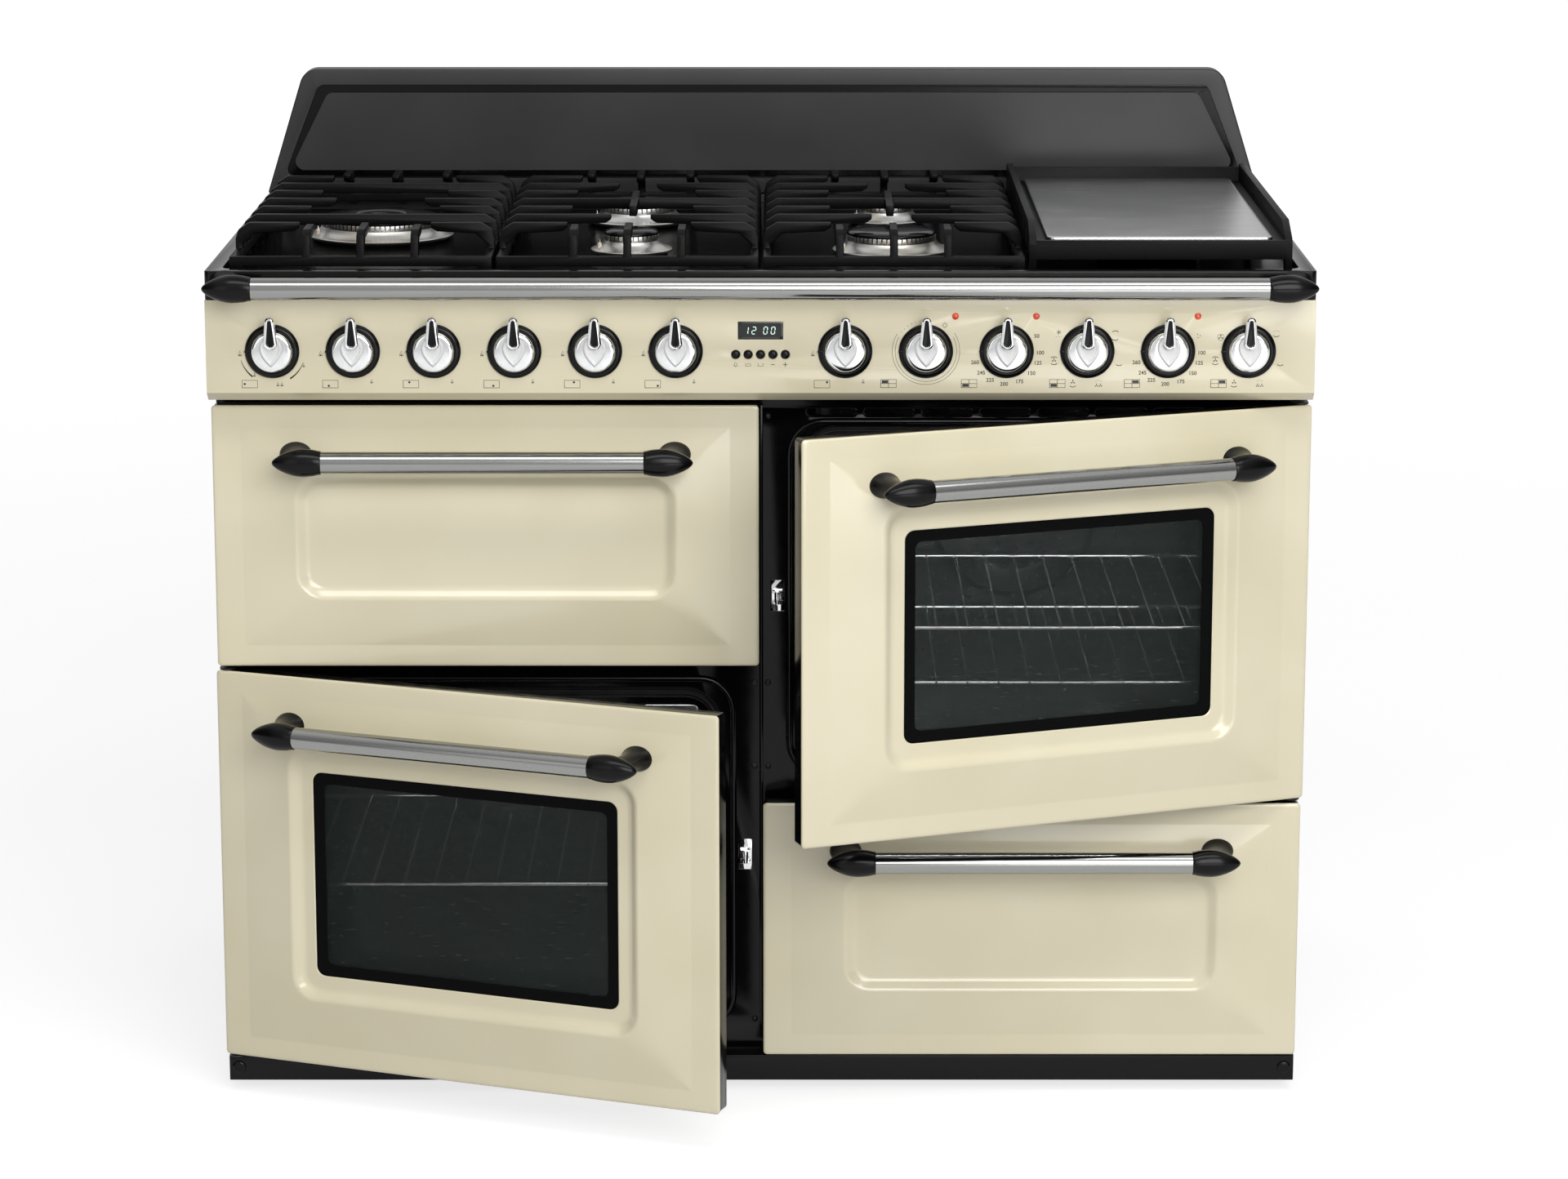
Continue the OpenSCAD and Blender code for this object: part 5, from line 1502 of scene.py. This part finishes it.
# [CAD node, material, body, slot, bevel in mm, smoothing angle]
FOLDED = [
    ("base_frame", BLACK, "cabinet", "black_enamel", 0.8, 35),
    ("levelling_feet", DARK_STEEL, "cabinet", "dark_steel", 0.8, 40),
    ("side_panels", ANTHRACITE, "cabinet", "grey_enamel", 0.7, 35),
    ("back_panel", ZINC, "cabinet", "galvanised", 0.4, 35),
    ("front_frame", BLACK, "cabinet", "black_enamel", 0.9, 35),
    ("door_catches", CHROME, "cabinet", "chrome", 0.5, 40),
    ("hinge_brackets", DARK_STEEL, "cabinet", "dark_steel", 0.6, 40),
    ("gas_manifold", BRASS, "cabinet", "brass", 0.6, 40),
    ("grill_door_frame", BLACK, "grill_door", "black_enamel", 0.8, 35),
    ("drawer_box", BLACK, "drawer", "black_enamel", 0.6, 35),
]
for name, material, body, slot, bevel, angle in FOLDED:
    ready(name + "_finished", soften(merged_copy(name), bevel), material, body, name, angle=angle)

ready("oven_cavities_enamelled", merged_copy("oven_cavities"), OVEN, "cabinet",
      "oven_cavities", angle=40)
ready("oven_racks_chromed", merged_copy("oven_racks"), CHROME, "cabinet", "oven_racks", angle=50)


def linings():
    """Fan covers in oven enamel, and the grill's rod, which is the only lining above the left oven."""
    edit(paint(soften(merged_copy("oven_linings"), 0.5, angle=50), OVEN, ROD_STEEL))
    pick("FACE", lambda middle, normal: middle.x < 0 and middle.z > GRILL_LOW.z)
    assign(1)
    return leave()


ready("oven_linings_finished", linings(), None, "cabinet", "oven_linings", angle=40)


# ---------- oven seals ----------

CAVITY_W, CAVITY_H, CAVITY_R = 440, 320, 22
SEAL_OUT = 11                            # the seal's middle line, outside the cavity's mouth


def lip_seal(middle_x, middle_z):
    """Silicone seal round an oven's mouth: a foot with two soft lips and a valley between them."""
    front, foot = (corner.y for corner in node_box("oven_door_seals"))
    # [from the seal's middle line outwards, y]
    section = [(-4.5, foot), (-4.5, foot - 2.4), (-3.8, front + 0.7), (-2.7, front), (-1.6, front + 0.9),
               (-0.5, front + 3.2), (0.5, front + 3.25), (1.6, front + 0.92), (2.7, front + 0.02),
               (3.8, front + 0.72), (4.5, foot - 2.38), (4.5, foot - 0.01)]
    size = (CAVITY_W + 2 * SEAL_OUT, CAVITY_H + 2 * SEAL_OUT, CAVITY_R + SEAL_OUT)
    return framed(size, [(-outward, y) for outward, y in section], (middle_x, middle_z), segments=9,
                  loop=True)


seals = join([lip_seal(-DOOR_X, LEFT_MID), lip_seal(DOOR_X, RIGHT_MID)])
ready("oven_door_seals_moulded", seals, SEAL, "cabinet", "oven_door_seals", angle=50)


# ---------- pressed ridges, vent lips and roof liner ----------

RIDGE_W, RIDGE_H, RIDGE_R = 8, 4, 34     # ridge pressed into the front frame round each oven's mouth
RIDGE_X, RIDGE_OUT = 29, 518             # its upright sides' middle lines, from the cooker's middle
SLOT_W, SLOT_H, SLOT_R = 50, 7, 3.4      # cooling slots above the right oven
SLOTS, SLOT_PITCH, SLOT_DROP = 8, 58.5, 14  # their number, spacing, and distance under the mouth's top


def frame_ridge(side, low_z, high_z):
    """Rounded ridge that runs round an oven's mouth, outside its seal."""
    middle = ((RIDGE_X + RIDGE_OUT) / 2 * side, (low_z + high_z) / 2)
    # [outwards as a share of half the ridge's width, rise as a share of its height]
    section = [(-1, -0.5), (-0.92, 0.4), (-0.72, 0.78), (-0.38, 0.96), (0, 1), (0.38, 0.962), (0.72, 0.782),
               (0.92, 0.41), (1, -0.49)]
    return framed((RIDGE_OUT - RIDGE_X, high_z - low_z, RIDGE_R),
                  [(-out * RIDGE_W / 2, FRAME_LOW.y - rise * RIDGE_H) for out, rise in section], middle,
                  segments=8, loop=True)


def slot_lip():
    """Rolled lip round a cooling slot."""
    section = [(0, 0.4), (-0.05, -0.8), (-0.7, -1.5), (-1.5, -1.3), (-2.2, -0.5), (-2.4, 0.38)]
    return framed((SLOT_W, SLOT_H, SLOT_R), section, loop=True)


ridges = [frame_ridge(-1, LEFT_LOW.z + 20, LEFT_HIGH.z - 18),
          frame_ridge(1, RIGHT_LOW.z + 16, RIGHT_HIGH.z - 24)]
lip = slot_lip()
for k in range(SLOTS):
    x = DOOR_X + (k - (SLOTS - 1) / 2) * SLOT_PITCH
    ridges.append(copy_of(lip, (x, FRAME_LOW.y, RIGHT_HIGH.z - SLOT_DROP)))
bpy.data.objects.remove(lip)
# Folded seam down the middle of the front frame
seam = soften(box((-2, FRAME_LOW.y - 2.6, LEFT_LOW.z + 14), (2, FRAME_LOW.y + 0.5, RIGHT_HIGH.z - 6)), 1.2)
ready("front_frame_ridges", join(ridges + [seam]), BLACK, "cabinet", angle=40)

ROOF_Z = LEFT_MID + CAVITY_H / 2
LINER_H, LINER_D, LINER_EDGE = 14, 330, 6  # height, depth, and the front edge's place behind the frame
LINER_GAP, TRIM_R = 3, 0.9
liner_y = FRAME_LOW.y + LINER_EDGE
liner_x = -DOOR_X - CAVITY_W / 2 + 10, -DOOR_X + CAVITY_W / 2 - 8
liner = box((liner_x[0], liner_y, ROOF_Z - LINER_GAP - LINER_H),
            (liner_x[1], liner_y + LINER_D, ROOF_Z - 1))
ready("left_oven_roof_liner", soften(liner, 3.5, segments=4), OVEN, "cabinet", angle=40)

# A round wire along the liner's front edge
section = [(-out, liner_y + deep) for out, deep in arc((0, 0), TRIM_R, 9, 9 + 7 * 45, 7)]
trim = framed((liner_x[1] - liner_x[0] - 3, LINER_H - 1.5, 4), section,
              (sum(liner_x) / 2, ROOF_Z - LINER_GAP - LINER_H / 2), loop=True)
ready("left_oven_liner_trim", trim, CHROME, "cabinet", angle=50)


# ---------- small fixings ----------

def column_screws():
    """Screws that hold the front frame, beside the catches and near the corners of the ovens' mouths."""
    heights = (LEFT_LOW.z + 26, LEFT_HIGH.z - 22, RIGHT_LOW.z + 24, RIGHT_HIGH.z - 18)
    return screw_heads([(x, FRAME_LOW.y, z) for x in (-7, 7) for z in heights], FRONT, 3.2)


ready("front_frame_screws", column_screws(), DARK_STEEL, "cabinet", angle=40)
PLINTH_CAP_X, PLINTH_CAP_Z = 540, 14     # the plinth's round caps, from its middle and its lower edge
plinth = node_box("base_frame")[0]
cap_profile = [(0, 2.0), (4.5, 1.9), (6.4, 1.2), (7, 0.2), (7, -1), (0, -1)]
caps = [lathe(cap_profile, (side * PLINTH_CAP_X, plinth.y, plinth.z + PLINTH_CAP_Z), FRONT, steps=32)
        for side in (-1, 1)]
ready("plinth_caps", join(caps), GLOSS_BLACK, "cabinet", angle=45)
